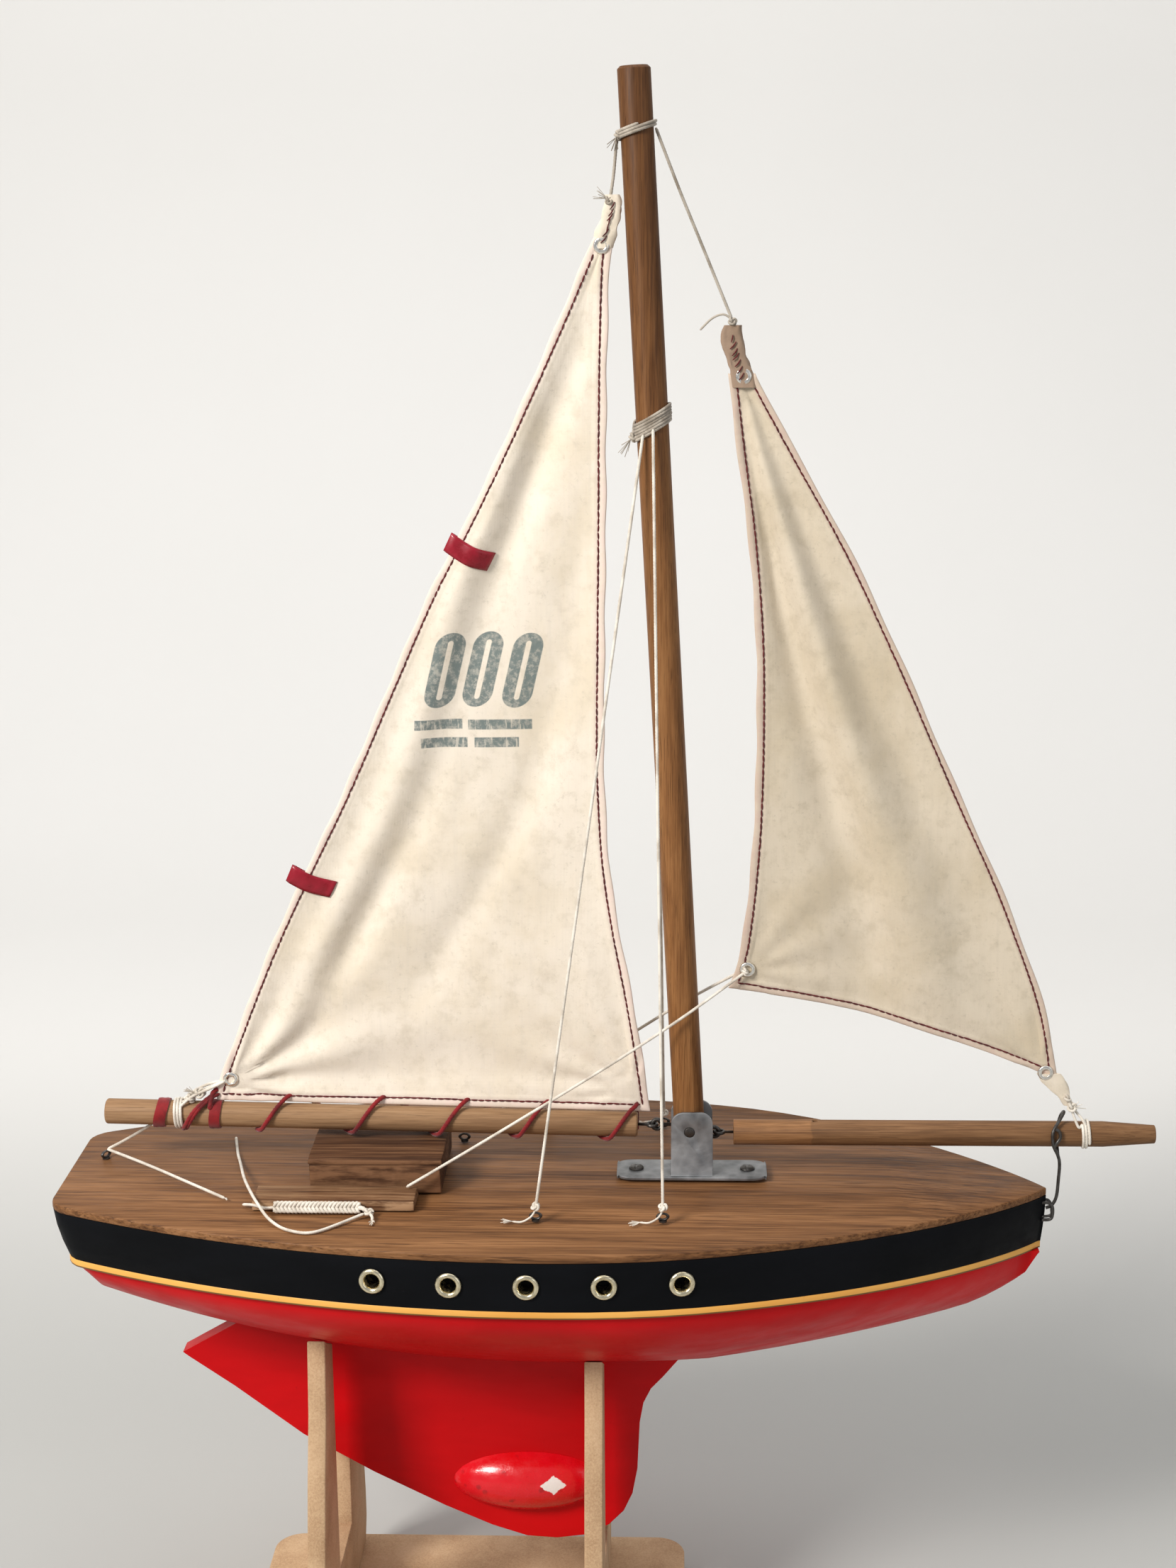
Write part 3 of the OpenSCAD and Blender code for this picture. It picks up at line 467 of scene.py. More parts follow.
def bar(f, x, z, x0, x1, cz):
    """Ink of one plain broken bar."""
    across = f.maths("ABSOLUTE", f.plus(x, -(x0 + x1) / 2 * MM))
    up = f.maths("ABSOLUTE", f.plus(z, -(cz + DECK) * MM))
    gaps = f.step(f.noise(f.place((1, 1, 0.2)), 700, 2, 0.5), 0.36, 0.44, 0.50, 1.0)
    a = f.step(across, (x1 - x0) / 2 * MM - 0.0002, (x1 - x0) / 2 * MM + 0.0002, 1.0, 0.0)
    b = f.step(up, 0.0017, 0.0021, 1.0, 0.0)
    return f.times(f.times(a, b), gaps)


def deck_wood():
    return wood("varnished deck", (0.066, 0.026, 0.010), (0.182, 0.080, 0.030), (0.300, 0.144, 0.060),
        roughness=0.50, coat=0.02)


def cabin_wood():
    # The last, lighter colour is painted light on the cabin's faces turned to the lamp.
    return wood("rough cabin wood", (0.030, 0.012, 0.006), (0.095, 0.041, 0.019), (0.24, 0.125, 0.062),
        fine=0.75, roughness=0.68, coat=0.0, wear=0.7, front=(0.20, 0.098, 0.048))


def spar_wood():
    return wood("varnished mast", (0.140, 0.057, 0.019), (0.235, 0.101, 0.034), (0.315, 0.147, 0.053),
        along="Z", fine=1.5, roughness=0.46, coat=0.06,
        patch=("Z", (DECK + 120) * MM, (DECK + 430) * MM, (0.50, 0.47, 0.45)))


def boom_wood():
    return wood("bare boom", (0.225, 0.122, 0.060), (0.315, 0.182, 0.092), (0.390, 0.240, 0.130), fine=1.6,
        roughness=0.6, coat=0.04)


def sprit_wood():
    return wood("varnished bowsprit", (0.110, 0.052, 0.023), (0.185, 0.092, 0.040), (0.250, 0.132, 0.062),
        fine=1.6, roughness=0.52, coat=0.02, patch=("X", 0.1015, 0.1005, (1.35, 1.30, 1.22)))


def dark_steel():
    return metal("tarnished wire", (0.10, 0.095, 0.09), (0.035, 0.028, 0.022), 0.42, 0.7, 0.85)


def nickel():
    return metal("nickel plate", (0.86, 0.83, 0.77), (0.36, 0.31, 0.24), 0.20, 0.22)


def white_yarn():
    return yarn("white cotton cord", (0.80, 0.75, 0.66), (0.52, 0.46, 0.38))


def grey_yarn():
    return yarn("weathered cord", (0.50, 0.445, 0.37), (0.24, 0.20, 0.155))


def red_yarn():
    return yarn("red cord", (0.26, 0.0055, 0.0085), (0.10, 0.003, 0.004), 0.7, 0.6)


def thread_finish():
    c = tuple(colours().thread)
    return yarn("dark red thread", c, tuple(v * 0.5 for v in c), 0.7, 0.3)


def red_paint():
    c = tuple(colours().red)
    shade = (c[0] * 0.80, c[1] * 0.6, c[2] * 0.7)
    return paint("red gloss", c, shade, 0.42, 0.02, (0.28, 0.002, 0.004), 0.30, shine=0.13)


# ---------------------------------------------------------------- mesh helpers


def finished(name, bm, material, body, node=None, angle=35):
    """Turns a bmesh into a piece that rides on a body and stands for a CAD node."""
    bmesh.ops.recalc_face_normals(bm, faces=bm.faces)
    mesh = bpy.data.meshes.new(name)
    bm.to_mesh(mesh)
    bm.free()
    for p in mesh.polygons:
        p.use_smooth = True
    mesh.set_sharp_from_angle(angle=math.radians(angle))
    mesh.materials.append(material)
    obj = bpy.data.objects.new(name, mesh)
    bpy.context.scene.collection.objects.link(obj)
    if body:
        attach(obj, body)
    if node:
        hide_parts(node)
    return obj


def body_of(node):
    return NODES[node]["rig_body"]


def eased_copy(node, width, segments=2, angle=40, keep=None):
    """A cleaned copy of a CAD node's mesh with its sharp edges eased."""
    bm = bmesh.new()
    bm.from_mesh(NODES[node].data)
    bmesh.ops.remove_doubles(bm, verts=bm.verts, dist=2e-6)
    bmesh.ops.dissolve_limit(bm, angle_limit=math.radians(0.6), verts=bm.verts, edges=bm.edges)
    bmesh.ops.recalc_face_normals(bm, faces=bm.faces)
    if width > 0:
        edges = [e for e in bm.edges if len(e.link_faces) == 2 and e.calc_face_angle(0) > math.radians(angle)
            and (keep is None or keep(e))]
        bmesh.ops.bevel(bm, geom=edges, offset=width, offset_type="OFFSET", segments=segments, profile=0.5,
            affect="EDGES", material=-1, clamp_overlap=True)
    return bm


def softened(node, material, width=0.0, segments=2, angle=40, shape=None, keep=None, smooth=35):
    """An eased copy of a CAD node, bent to a shape where one is given, which then stands for the node."""
    bm = eased_copy(node, width, segments, angle, keep)
    if shape:
        height = bm.verts.layers.float.new("height")
        for v in bm.verts:
            v[height] = v.co.z / MM - DECK
            v.co = shape(v.co)
    return finished(node + "_look", bm, material, body_of(node), node, angle=smooth)


def smooth_line(points, step):
    """Points every step along a smooth curve through the given ones, in millimetres."""
    p = [Vector(q) for q in points]
    dense = []
    for i in range(len(p) - 1):
        a, b, c, d = p[max(i - 1, 0)], p[i], p[i + 1], p[min(i + 2, len(p) - 1)]
        for k in range(24):
            t = k / 24
            square = (2 * a - 5 * b + 4 * c - d) * t * t
            cube = (3 * b - a - 3 * c + d) * t ** 3
            dense.append(0.5 * (2 * b + (c - a) * t + square + cube))
    dense.append(p[-1])
    run = [0.0]
    for a, b in zip(dense, dense[1:]):
        run.append(run[-1] + (b - a).length)
    n = max(2, int(round(run[-1] / step)))
    out, k = [], 0
    for i in range(n + 1):
        s = run[-1] * i / n
        while k < len(run) - 2 and run[k + 1] < s:
            k += 1
        f = (s - run[k]) / max(1e-9, run[k + 1] - run[k])
        out.append(dense[k].lerp(dense[k + 1], f))
    return out


def add_cord(bm, points, diameter=1.2, lobes=3, depth=0.16, pitch=3.4, sides=12, step=CORD_STEP, closed=False,
        taper=True):
    """Sweeps a twisted cord along points given in millimetres from the deck."""
    line = smooth_line(points, step) if not closed else [Vector(p) for p in points]
    n = len(line)
    if closed:
        heading = [(line[(i + 1) % n] - line[i - 1]).normalized() for i in range(n)]
    else:
        heading = [(line[min(i + 1, n - 1)] - line[max(i - 1, 0)]).normalized() for i in range(n)]
    side = heading[0].orthogonal().normalized()
    rings, run = [], 0.0
    for i, p in enumerate(line):
        if i:
            run += (p - line[i - 1]).length
            side = (side - heading[i] * side.dot(heading[i])).normalized()
        other = heading[i].cross(side)
        turn = 2 * math.pi * run / pitch
        squeeze = 1.0
        if taper and not closed:
            squeeze = min(1.0, 0.55 + 0.45 * min(i, n - 1 - i) / 1.5)
        ring = []
        for k in range(sides):
            a = 2 * math.pi * k / sides
            r = diameter / 2 * (1 - depth * (0.5 - 0.5 * math.cos(lobes * (a - turn)))) * squeeze
            q = p + r * (math.cos(a) * side + math.sin(a) * other)
            ring.append(bm.verts.new(at(*q)))
        rings.append(ring)
    pairs = list(zip(rings, rings[1:])) + ([(rings[-1], rings[0])] if closed else [])
    for a, b in pairs:
        for k in range(sides):
            bm.faces.new((a[k], a[(k + 1) % sides], b[(k + 1) % sides], b[k]))
    if not closed:
        bm.faces.new(list(reversed(rings[0])))
        bm.faces.new(rings[-1])


def cord_piece(name, paths, body, node, material=None, diameter=None, slot="white_cord", extras=None,
        **options):
    """Cords along paths as one piece, with the knots and loose ends that extras adds."""
    bm = bmesh.new()
    for path in paths:
        add_cord(bm, path, diameter or round(sizes().cord / MM, 4), **options)
    if extras:
        extras(bm)
    return finished(name, bm, material or white_yarn(), body, node, angle=75)


def knot(bm, centre, size=1.5, diameter=1.1, turn=(0, 0, 0)):
    """A tight overhand knot."""
    m = Matrix.Rotation(turn[0], 3, "X") @ Matrix.Rotation(turn[1], 3, "Y") @ Matrix.Rotation(turn[2], 3, "Z")
    points = []
    for i in range(56):
        t = 2 * math.pi * i / 56
        out = 2 + math.cos(3 * t)
        v = Vector((out * math.cos(2 * t), out * math.sin(2 * t), 1.1 * math.sin(3 * t)))
        points.append(Vector(centre) + m @ v * size / 3)
    add_cord(bm, points, diameter, sides=8, closed=True)


def fray(bm, start, heading, count=7, length=5, spread=0.5, seed=1, droop_to=None):
    """Loose fibres where a cord end has come apart."""
    rng = random.Random(seed)
    for _ in range(count):
        stray = Vector([rng.uniform(-spread, spread) for _ in range(3)])
        h = (Vector(heading).normalized() + stray).normalized()
        n = length * rng.uniform(0.55, 1.0)
        bend = Vector([rng.uniform(-1, 1) for _ in range(3)]) * n * 0.22
        points = [Vector(start), Vector(start) + h * n * 0.5 + bend * 0.5, Vector(start) + h * n + bend]
        if droop_to is not None:
            for p in points:
                p.z = max(p.z, droop_to)
        add_cord(bm, points, rng.uniform(0.22, 0.36), lobes=1, depth=0.0, sides=5, step=1.0, taper=False)


def wound(centre, axis, radius, pitch, turns, start=0.0, wobble=0.0, seed=3):
    """Points of a cord wound round an axis, from a centre along it."""
    rng = random.Random(seed)
    axis = Vector(axis).normalized()
    u = axis.orthogonal().normalized()
    w = axis.cross(u)
    phase = [rng.uniform(0, 6.28) for _ in range(4)]
    points = []
    for i in range(int(turns * TURN_POINTS) + 1):
        t = i / TURN_POINTS
        a = start + 2 * math.pi * t
        r = radius + wobble * (math.sin(1.7 * a + phase[0]) + math.sin(0.6 * a + phase[1])) * 0.5
        s = pitch * t + wobble * math.sin(a + phase[2]) * 1.2
        points.append(Vector(centre) + axis * s + r * (math.cos(a) * u + math.sin(a) * w))
    return points


# ---------------------------------------------------------------- camera, cords and stage


class BOAT_OT_camera(Operator):
    """Camera at the starboard side, looking slightly down on the deck"""
    bl_idname = "boat.camera"
    bl_label = "Camera"

    def execute(self, context):
        data = bpy.data.cameras.new("boat_camera")
        data.sensor_fit = "VERTICAL"
        data.sensor_height = 36
        data.sensor_width = 36
        data.lens = 54.081
        data.clip_start = 0.02
        cam = bpy.data.objects.new("boat_camera", data)
        cam.location = (0.04655, -0.85485, 0.566)
        cam.rotation_euler = tuple(math.radians(a) for a in (76.3895, 0.4957, 2.0600))
        context.scene.collection.objects.link(cam)
        context.scene.camera = cam
        return {"FINISHED"}


# The loose line from its fixed end, in millimetres from the deck
LOOSE = [(-130.5, 30, 0.8), (-126.9, 13.9, 0.8), (-123.6, 1.8, 1.4), (-118.5, -18.3, 4.0), (-113.2, -34, 5.0),
    (-108.8, -44.0, 4.6), (-104.2, -50.6, 2.2), (-98.6, -56.2, 0.9), (-93, -59.8, 0.8), (-88, -61, 0.8),
    (-83.5, -59, 0.8), (-78.4, -54, 0.8), (-73, -48.2, 0.9), (-69, -45.4, 1.6)]


class BOAT_OT_loose_line(Operator):
    """The spare end of cord lying in a loop on the after deck"""
    bl_idname = "boat.loose_line"
    bl_label = "Loose line"

    def execute(self, context):
        obj = cord_piece("loose_line_cord", [LOOSE], "hull", "loose_line")
        path = [at(*p) for p in smooth_line(LOOSE, CORD_STEP)]
        return {"FINISHED"}


class BOAT_OT_stage(Operator):
    """Pale floor with a curved backdrop, soft lights and even surroundings"""
    bl_idname = "boat.stage"
    bl_label = "Stage"

    def execute(self, context):
        bm = bmesh.new()
        back, sweep, half_width, sunk = 1.0, 0.7, 4.5, 0.0004
        profile = [(-2.5, 0.0), (back, 0.0)]
        for degrees in range(6, 91, 6):
            a = math.radians(degrees)
            profile.append((back + sweep * math.sin(a), sweep - sweep * math.cos(a)))
        profile.append((back + sweep, 4.0))
        row = [bm.verts.new((-half_width, y, z - sunk)) for y, z in profile]
        edges = [bm.edges.new(pair) for pair in zip(row, row[1:])]
        out = bmesh.ops.extrude_edge_only(bm, edges=edges)
        far_row = [v for v in out["geom"] if isinstance(v, bmesh.types.BMVert)]
        bmesh.ops.translate(bm, vec=(2 * half_width, 0, 0), verts=far_row)
        bmesh.ops.recalc_face_normals(bm, faces=bm.faces)
        if bm.faces[0].normal.z < 0:
            bmesh.ops.reverse_faces(bm, faces=bm.faces)
        mesh = bpy.data.meshes.new("floor")
        bm.to_mesh(mesh)
        bm.free()
        for p in mesh.polygons:
            p.use_smooth = True
        f = Finish("pale floor", 0.7, Specular_IOR_Level=0.25)
        cloud = f.noise(f.place(), 3, 3, 0.5)
        near = f.mix(cloud, (0.40, 0.40, 0.385), (0.44, 0.44, 0.42))
        far = f.mix(cloud, (0.70, 0.69, 0.665), (0.73, 0.72, 0.70))
        f.colour(f.mix(f.step(f.split()["Y"], 0.15, 0.75), near, far))
        f.bump((f.noise(f.place(), 260, 3, 0.6), 0.05, 0.0004))
        mesh.materials.append(f.mat)
        floor = bpy.data.objects.new("floor", mesh)
        context.scene.collection.objects.link(floor)
        for name, spot, aim, size, power, tint in (
            ("key", (-1.15, -1.25, 1.45), (0, 0, 0.28), 0.55, 46, (1.0, 0.97, 0.93)),
            ("fill", (1.6, -1.4, 0.9), (0, 0, 0.25), 1.4, 5, (0.94, 0.97, 1.0)),
            ("wall", (0.0, 0.55, 2.3), (0, 1.7, 0.75), 2.2, 27, (1.0, 0.985, 0.96)),
        ):
            data = bpy.data.lights.new(name, "AREA")
            data.shape = "SQUARE"
            data.size = size
            data.energy = power
            data.color = tint
            lamp = bpy.data.objects.new(name, data)
            lamp.location = spot
            lamp.rotation_euler = (Vector(aim) - Vector(spot)).to_track_quat("-Z", "Y").to_euler()
            context.scene.collection.objects.link(lamp)
        world = bpy.data.worlds.new("soft surroundings")
        world.use_nodes = True
        sky = world.node_tree.nodes["Background"]
        sky.inputs["Color"].default_value = (0.93, 0.95, 1.0, 1)
        sky.inputs["Strength"].default_value = 0.42
        context.scene.world = world
        context.scene.view_settings.view_transform = "Standard"
        return {"FINISHED"}


# ---------------------------------------------------------------- stand and hull


class BOAT_OT_stand(Operator):
    """Base board and the two upright cradle boards"""
    bl_idname = "boat.stand"
    bl_label = "Stand"

    def execute(self, context):
        for node in ("stand_base", "stand_cradle_aft", "stand_cradle_fore"):
            softened(node, board("fibre board"), sizes().edge * 1.2)
        return {"FINISHED"}


def bow_dip(co):
    """The sheer's dip towards the stem."""
    return Vector((co.x, co.y, co.z - droop(co.x / MM) * MM))


def bottom_dip(co):
    """The bottom thins towards the stem and rounds up into it."""
    x, z = co.x / MM, co.z / MM - DECK
    taper = min(1, max(0.0, x - 60) / 128)
    rounding = 1 - math.sqrt(max(0.0, 1 - max(0.0, (x - 156) / 33) ** 2)) if x < 189 else 1
    thin = 1 - 0.20 * taper - 0.80 * rounding
    return bow_dip(Vector((co.x, co.y, (DECK + LIFT_JOINT + (z - LIFT_JOINT) * thin) * MM)))


class BOAT_OT_hull(Operator):
    """Deck board and the black, yellow and red lifts"""
    bl_idname = "boat.hull"
    bl_label = "Hull"

    def execute(self, context):
        black, yellow = tuple(colours().black), tuple(colours().yellow)
        satin = paint("black satin", black, (0.0040, 0.0045, 0.0060), 0.50, 0.0, (0.012, 0.012, 0.014), 0.30,
            shine=0.07)
        # The yellow falls to near black below -24.3 mm: painted shade in the step down to the red hull.
        gloss = paint("yellow gloss", yellow, (0.72, 0.33, 0.06), 0.42, 0.04, (0.40, 0.12, 0.015), 0.30,
            line=-24.3)
        softened("deck_board", deck_wood(), sizes().edge, shape=bow_dip)
        softened("upper_hull", satin, sizes().edge, angle=50, shape=bow_dip)
        softened("stripe", gloss, 0.0003, angle=50, shape=bow_dip)
        softened("lower_hull", red_paint(), 0.0003, angle=60, shape=bottom_dip)
        return {"FINISHED"}


class BOAT_OT_keel(Operator):
    """Keel fin and the two ballast cheeks"""
    bl_idname = "boat.keel"
    bl_label = "Keel"

    def execute(self, context):
        hull_bottom = (DECK - 81) * MM

        def below(e):
            return ((e.verts[0].co + e.verts[1].co) / 2).z < hull_bottom

        softened("keel_fin", red_paint(), 0.0026, 4, angle=60, keep=below, smooth=40)
        f = Finish("red lead", 0.30, Coat_Weight=0.35, Coat_Roughness=0.12, Specular_IOR_Level=0.35)
        red = tuple(colours().red)
        pit = f.step(f.cells(f.place(), 230), 0.18, 0.34, 1.0, 0.0)
        some = f.step(f.noise(f.place(), 90, 3, 0.6), 0.48, 0.60)
        pits = f.times(pit, some)
        x, y, z = f.split()
        chip = f.plus(f.maths("ABSOLUTE", f.plus(x, 0.0018)),
            f.times(f.maths("ABSOLUTE", f.plus(z, -(DECK - 129.2) * MM)), 1.5))
        edge = f.plus(chip, f.times(f.noise(f.place(), 420, 3, 0.6), 0.004))
        chip = f.times(f.step(edge, 0.0072, 0.0078, 1.0, 0.0), f.step(y, -0.002, -0.001, 1.0, 0.0))
        base = f.mix(f.step(f.noise(f.place(), 45, 4, 0.6), 0.35, 0.7), red,
            (red[0] * 1.1, red[1] * 3.0, red[2] * 3.0))
        base = f.mix(f.times(pits, 0.6), base, (0.26, 0.004, 0.006))
        f.colour(f.mix(chip, base, (0.80, 0.76, 0.72)))
        f.rough(f.step(f.noise(f.place(), 200, 4, 0.6), 0.3, 0.7, 0.16, 0.36))
        f.bump((f.noise(f.place(), 330, 4, 0.6), 0.35, 0.0005), (pits, -0.5, 0.0004), (chip, -0.6, 0.0003))
        softened("ballast_weights", f.mat, smooth=50)
        return {"FINISHED"}


class BOAT_OT_portholes(Operator):
    """Ten plated porthole grommets with dark bores"""
    bl_idname = "boat.portholes"
    bl_label = "Portholes"

    def execute(self, context):
        brass = metal("pale brass", (0.78, 0.70, 0.50), (0.38, 0.30, 0.16), 0.18, 0.45)
        for node in ("portholes_starboard", "portholes_port"):
            softened(node, brass, 0.00022, angle=50, smooth=50)
        return {"FINISHED"}


# ---------------------------------------------------------------- deck fittings


def chopped(node, material, width, cuts, amount, seed):
    """An eased copy cut into short stations, whose faces wander a little, as on a hand-cut block."""
    bm = eased_copy(node, width)
    noise.seed_set(1)
    low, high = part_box(node)
    for i in range(1, cuts):
        x = low.x + (high.x - low.x) * i / cuts
        whole = bm.verts[:] + bm.edges[:] + bm.faces[:]
        bmesh.ops.bisect_plane(bm, geom=whole, plane_co=(x, 0, 0), plane_no=ALONG_X)
    for v in bm.verts:
        x, y, z = v.co
        d = noise.noise_vector(Vector((x * 60, y * 160, z * 160)) + Vector((seed, seed, seed))) * amount
        foot = z < low.z + 0.0002
        v.co += Vector((d.x, d.y * 0.6, 0 if foot else d.z * 0.5))
    return finished(node + "_look", bm, material, body_of(node), node, angle=30)


class BOAT_OT_cabin(Operator):
    """Cabin block, its roof and the side bench, rough-cut from dark wood"""
    bl_idname = "boat.cabin"
    bl_label = "Cabin and bench"

    def execute(self, context):
        chopped("cabin_block", cabin_wood(), 0.0005, 26, 0.0005, 3.1)
        chopped("cabin_roof", cabin_wood(), 0.0004, 26, 0.0004, 8.4)
        # The last, lighter colour is painted light on the bench's faces turned to the lamp.
        bench = wood("worn bench", (0.055, 0.022, 0.010), (0.150, 0.070, 0.032), (0.34, 0.20, 0.105),
            fine=0.9, roughness=0.66, coat=0.0, wear=0.6, front=(0.42, 0.255, 0.140))
        chopped("side_bench", bench, 0.0004, 30, 0.0006, 5.7)
        return {"FINISHED"}


class BOAT_OT_mast_shoe(Operator):
    """Folded sheet-metal mast shoe with its two screws and the pin"""
    bl_idname = "boat.mast_shoe"
    bl_label = "Mast shoe"

    def execute(self, context):
        def narrow(co):
            on_plate = co.z < (DECK + 1.3) * MM and abs(co.y) > 0.0078
            return Vector((co.x, co.y * (0.78 if on_plate else 1), co.z))

        softened("mast_shoe", zinc("dull zinc sheet"), 0.0002, angle=50, shape=narrow)
        softened("mast_pin", dark_steel(), 0.0003, angle=50)
        softened("shoe_screws", dark_steel(), 0.00015, angle=50)
        return {"FINISHED"}


class BOAT_OT_deck_eyes(Operator):
    """Small wire eyes that the shrouds and sheets are tied to"""
    bl_idname = "boat.deck_eyes"
    bl_label = "Deck eyes"

    def execute(self, context):
        for node in ("mast_hook", "sprit_hook", "sprit_eye", "boom_eye"):
            softened(node, dark_steel(), smooth=60)

        def low(co):
            return Vector((co.x, co.y, DECK * MM + (co.z - DECK * MM) * 0.62))

        for node in ("shroud_eyes", "sheet_eyes"):
            softened(node, dark_steel(), smooth=60, shape=low)
        return {"FINISHED"}


class BOAT_OT_stem_wire(Operator):
    """Twisted wire that ties the bowsprit down to a staple in the stem"""
    bl_idname = "boat.stem_wire"
    bl_label = "Stem wire"

    def execute(self, context):
        wire = [(190.2, 0.4, -14.4), (192.6, 0.6, -13.2), (194.2, 0.6, -9.5), (194.6, 0.0, -2),
            (194.4, -2.2, 5), (193.2, -4.6, 9.5), (191.2, -5.9, 14), (190.8, -5.8, 19.0), (193.2, -3.6, 22.8),
            (195.2, -1.5, 25.4), (195.6, 1.2, 25.0), (195.0, 4.4, 21.6), (194.4, 5.9, 16.6),
            (194.2, 4.4, 11.0), (194.3, 1.6, 6.8)]
        twist = [(191.4, -5.9, 13.4), (192.4, -6.3, 15.2), (193.6, -6.0, 17.2), (193.2, -6.1, 19.6),
            (191.8, -6.2, 20.8)]
        plain = {"lobes": 1, "depth": 0.0, "taper": False}
        cord_piece("stem_wire_look", [wire, twist], "hull", "stem_wire", dark_steel(), 1.3, "dark_steel",
            sides=14, **plain)
        bm = bmesh.new()
        add_cord(bm, [(188.4, -1.4, -11.4), (191.0, -1.5, -11.6), (192.4, -1.6, -13.0), (192.6, -1.6, -16.0),
            (191.8, -1.6, -18.2), (188.6, -1.4, -18.6)], 1.3, **plain)
        add_cord(bm, [(188.4, 1.6, -11.4), (191.0, 1.7, -11.6), (192.2, 1.6, -13.0), (192.4, 0.2, -15.0),
            (192.0, -1.0, -16.8), (188.6, -0.6, -17.6)], 1.1, **plain)
        finished("stem_staple_look", bm, dark_steel(), "hull", "stem_staple", 70)
        return {"FINISHED"}


class BOAT_OT_braid(Operator):
    """Flat braided band tied along the bench"""
    bl_idname = "boat.braid"
    bl_label = "Braided band"

    def execute(self, context):
        bm = bmesh.new()
        for lane in range(4):
            points = []
            for i in range(121):
                t = i / 120
                a = 2 * math.pi * (t * 5.5 + lane / 4)
                across = 1.55 * math.sin(a)
                out = -41.6 + 0.45 * across - 0.42 * math.sin(2 * a)
                points.append(Vector((-103.4 + 32.6 * t, out, 2.35 + across)))
            add_cord(bm, points, 1.3, depth=0.14, pitch=2.4, sides=8, step=0.5)
        add_cord(bm, [(-71.6, -41.8, 2.3), (-69.8, -42.8, 2.6), (-68.4, -43.6, 1.8)], 1.8, sides=10)
        knot(bm, (-67.4, -44.2, 1.75), 1.55, 1.2, (0.3, 0.2, 0.1))
        add_cord(bm, [(-67.0, -45.0, 1.6), (-65.8, -47.0, 1.1), (-65.4, -49.6, 0.7)], 1.2, sides=10)
        fray(bm, (-65.4, -49.6, 0.7), (0.1, -1, 0.0), 9, 3.2, 0.5, 5, droop_to=0.25)
        add_cord(bm, [(-103.0, -41.6, 2.2), (-107.0, -40.8, 1.6), (-111.5, -39.6, 2.2), (-116.0, -36.0, 0.8)],
            1.2, sides=10)
        finished("braided_band_look", bm, white_yarn(), "hull", "braided_band", 75)
        return {"FINISHED"}


# ---------------------------------------------------------------- spars


class BOAT_OT_spars(Operator):
    """Mast, boom and bowsprit"""
    bl_idname = "boat.spars"
    bl_label = "Spars"

    def execute(self, context):
        softened("mast", spar_wood(), 0.0003, angle=30)
        softened("boom", boom_wood(), 0.0003, angle=30)
        softened("bowsprit", sprit_wood(), 0.0003, angle=30)
        return {"FINISHED"}


# ---------------------------------------------------------------- rigging


class BOAT_OT_mast_lashings(Operator):
    """Turns of cord round the mast that hold the halyards and the shrouds"""
    bl_idname = "boat.mast_lashings"
    bl_label = "Mast lashings"

    def execute(self, context):
        def band(name, z, turns, node, seed, slant, loose):
            points = wound((mast_at(z), 0, z), MAST_AXIS, MAST_R + 0.62, 1.1, turns, 0.4, 0.14, seed)
            for p in points:
                p.z += slant * (p.x - mast_at(z))

            def ends(bm):
                knot(bm, loose, 1.6, 1.1, (0.4, 0.9, 0.2))
                middle = points[-1].lerp(loose, 0.5) + Vector((0, -0.5, 0))
                add_cord(bm, [points[-1], middle, loose], 1.1, sides=8)
                fray(bm, loose + Vector((-0.8, -0.8, -0.6)), (-0.5, -0.3, -1), 6, 7, 0.45, seed)

            cord_piece(name, [points], "hull", node, grey_yarn(), extras=ends)

        band("masthead_lashing", 389.4, 2.6, "masthead_band", 4, 0.24,
            Vector((mast_at(389) - 6.6, -1.6, 388.4)))
        band("shroud_lashing", 285.6, 6.3, "shroud_band", 9, 0.50, Vector((mast_at(285) - 7.2, -1.8, 283.6)))
        return {"FINISHED"}


class BOAT_OT_shrouds(Operator):
    """Four shrouds from the mast down to the deck, knotted at their eyes"""
    bl_idname = "boat.shrouds"
    bl_label = "Shrouds"

    def execute(self, context):
        for kind, x, shift, out, height in (("fore", 42, 0.2, 7.4, 287), ("aft", -5, -3.4, 6.6, 285)):
            for way, s in (("starboard", -1), ("port", 1)):
                foot = Vector((x, s * 47, 5.0))
                head = Vector((mast_at(287) + shift, s * out, height))
                tail = [foot + Vector(v) for v in ((0.3, 0.4, 0), (-1.5, s * 1.6, -2.6), (-5, s * 3.0, -4.2),
                    (-8.5, s * 2.2, -4.4))]

                def tie(bm, x=x, s=s, foot=foot, tail=tail):
                    knot(bm, foot + Vector((0, 0, 0.6)), 1.5, 1.1, (0.7, 0.3 * s, x))
                    add_cord(bm, tail, 0.8, sides=10)
                    fray(bm, tail[-1], (-1, s * 0.2, 0), 10, 4.5, 0.35, x + 60, droop_to=0.2)

                name = f"shroud_{way}_{kind}"
                path = [foot.lerp(head, k / 8) for k in range(9)]
                cord_piece(name + "_cord", [path], "hull", name, extras=tie)
        return {"FINISHED"}


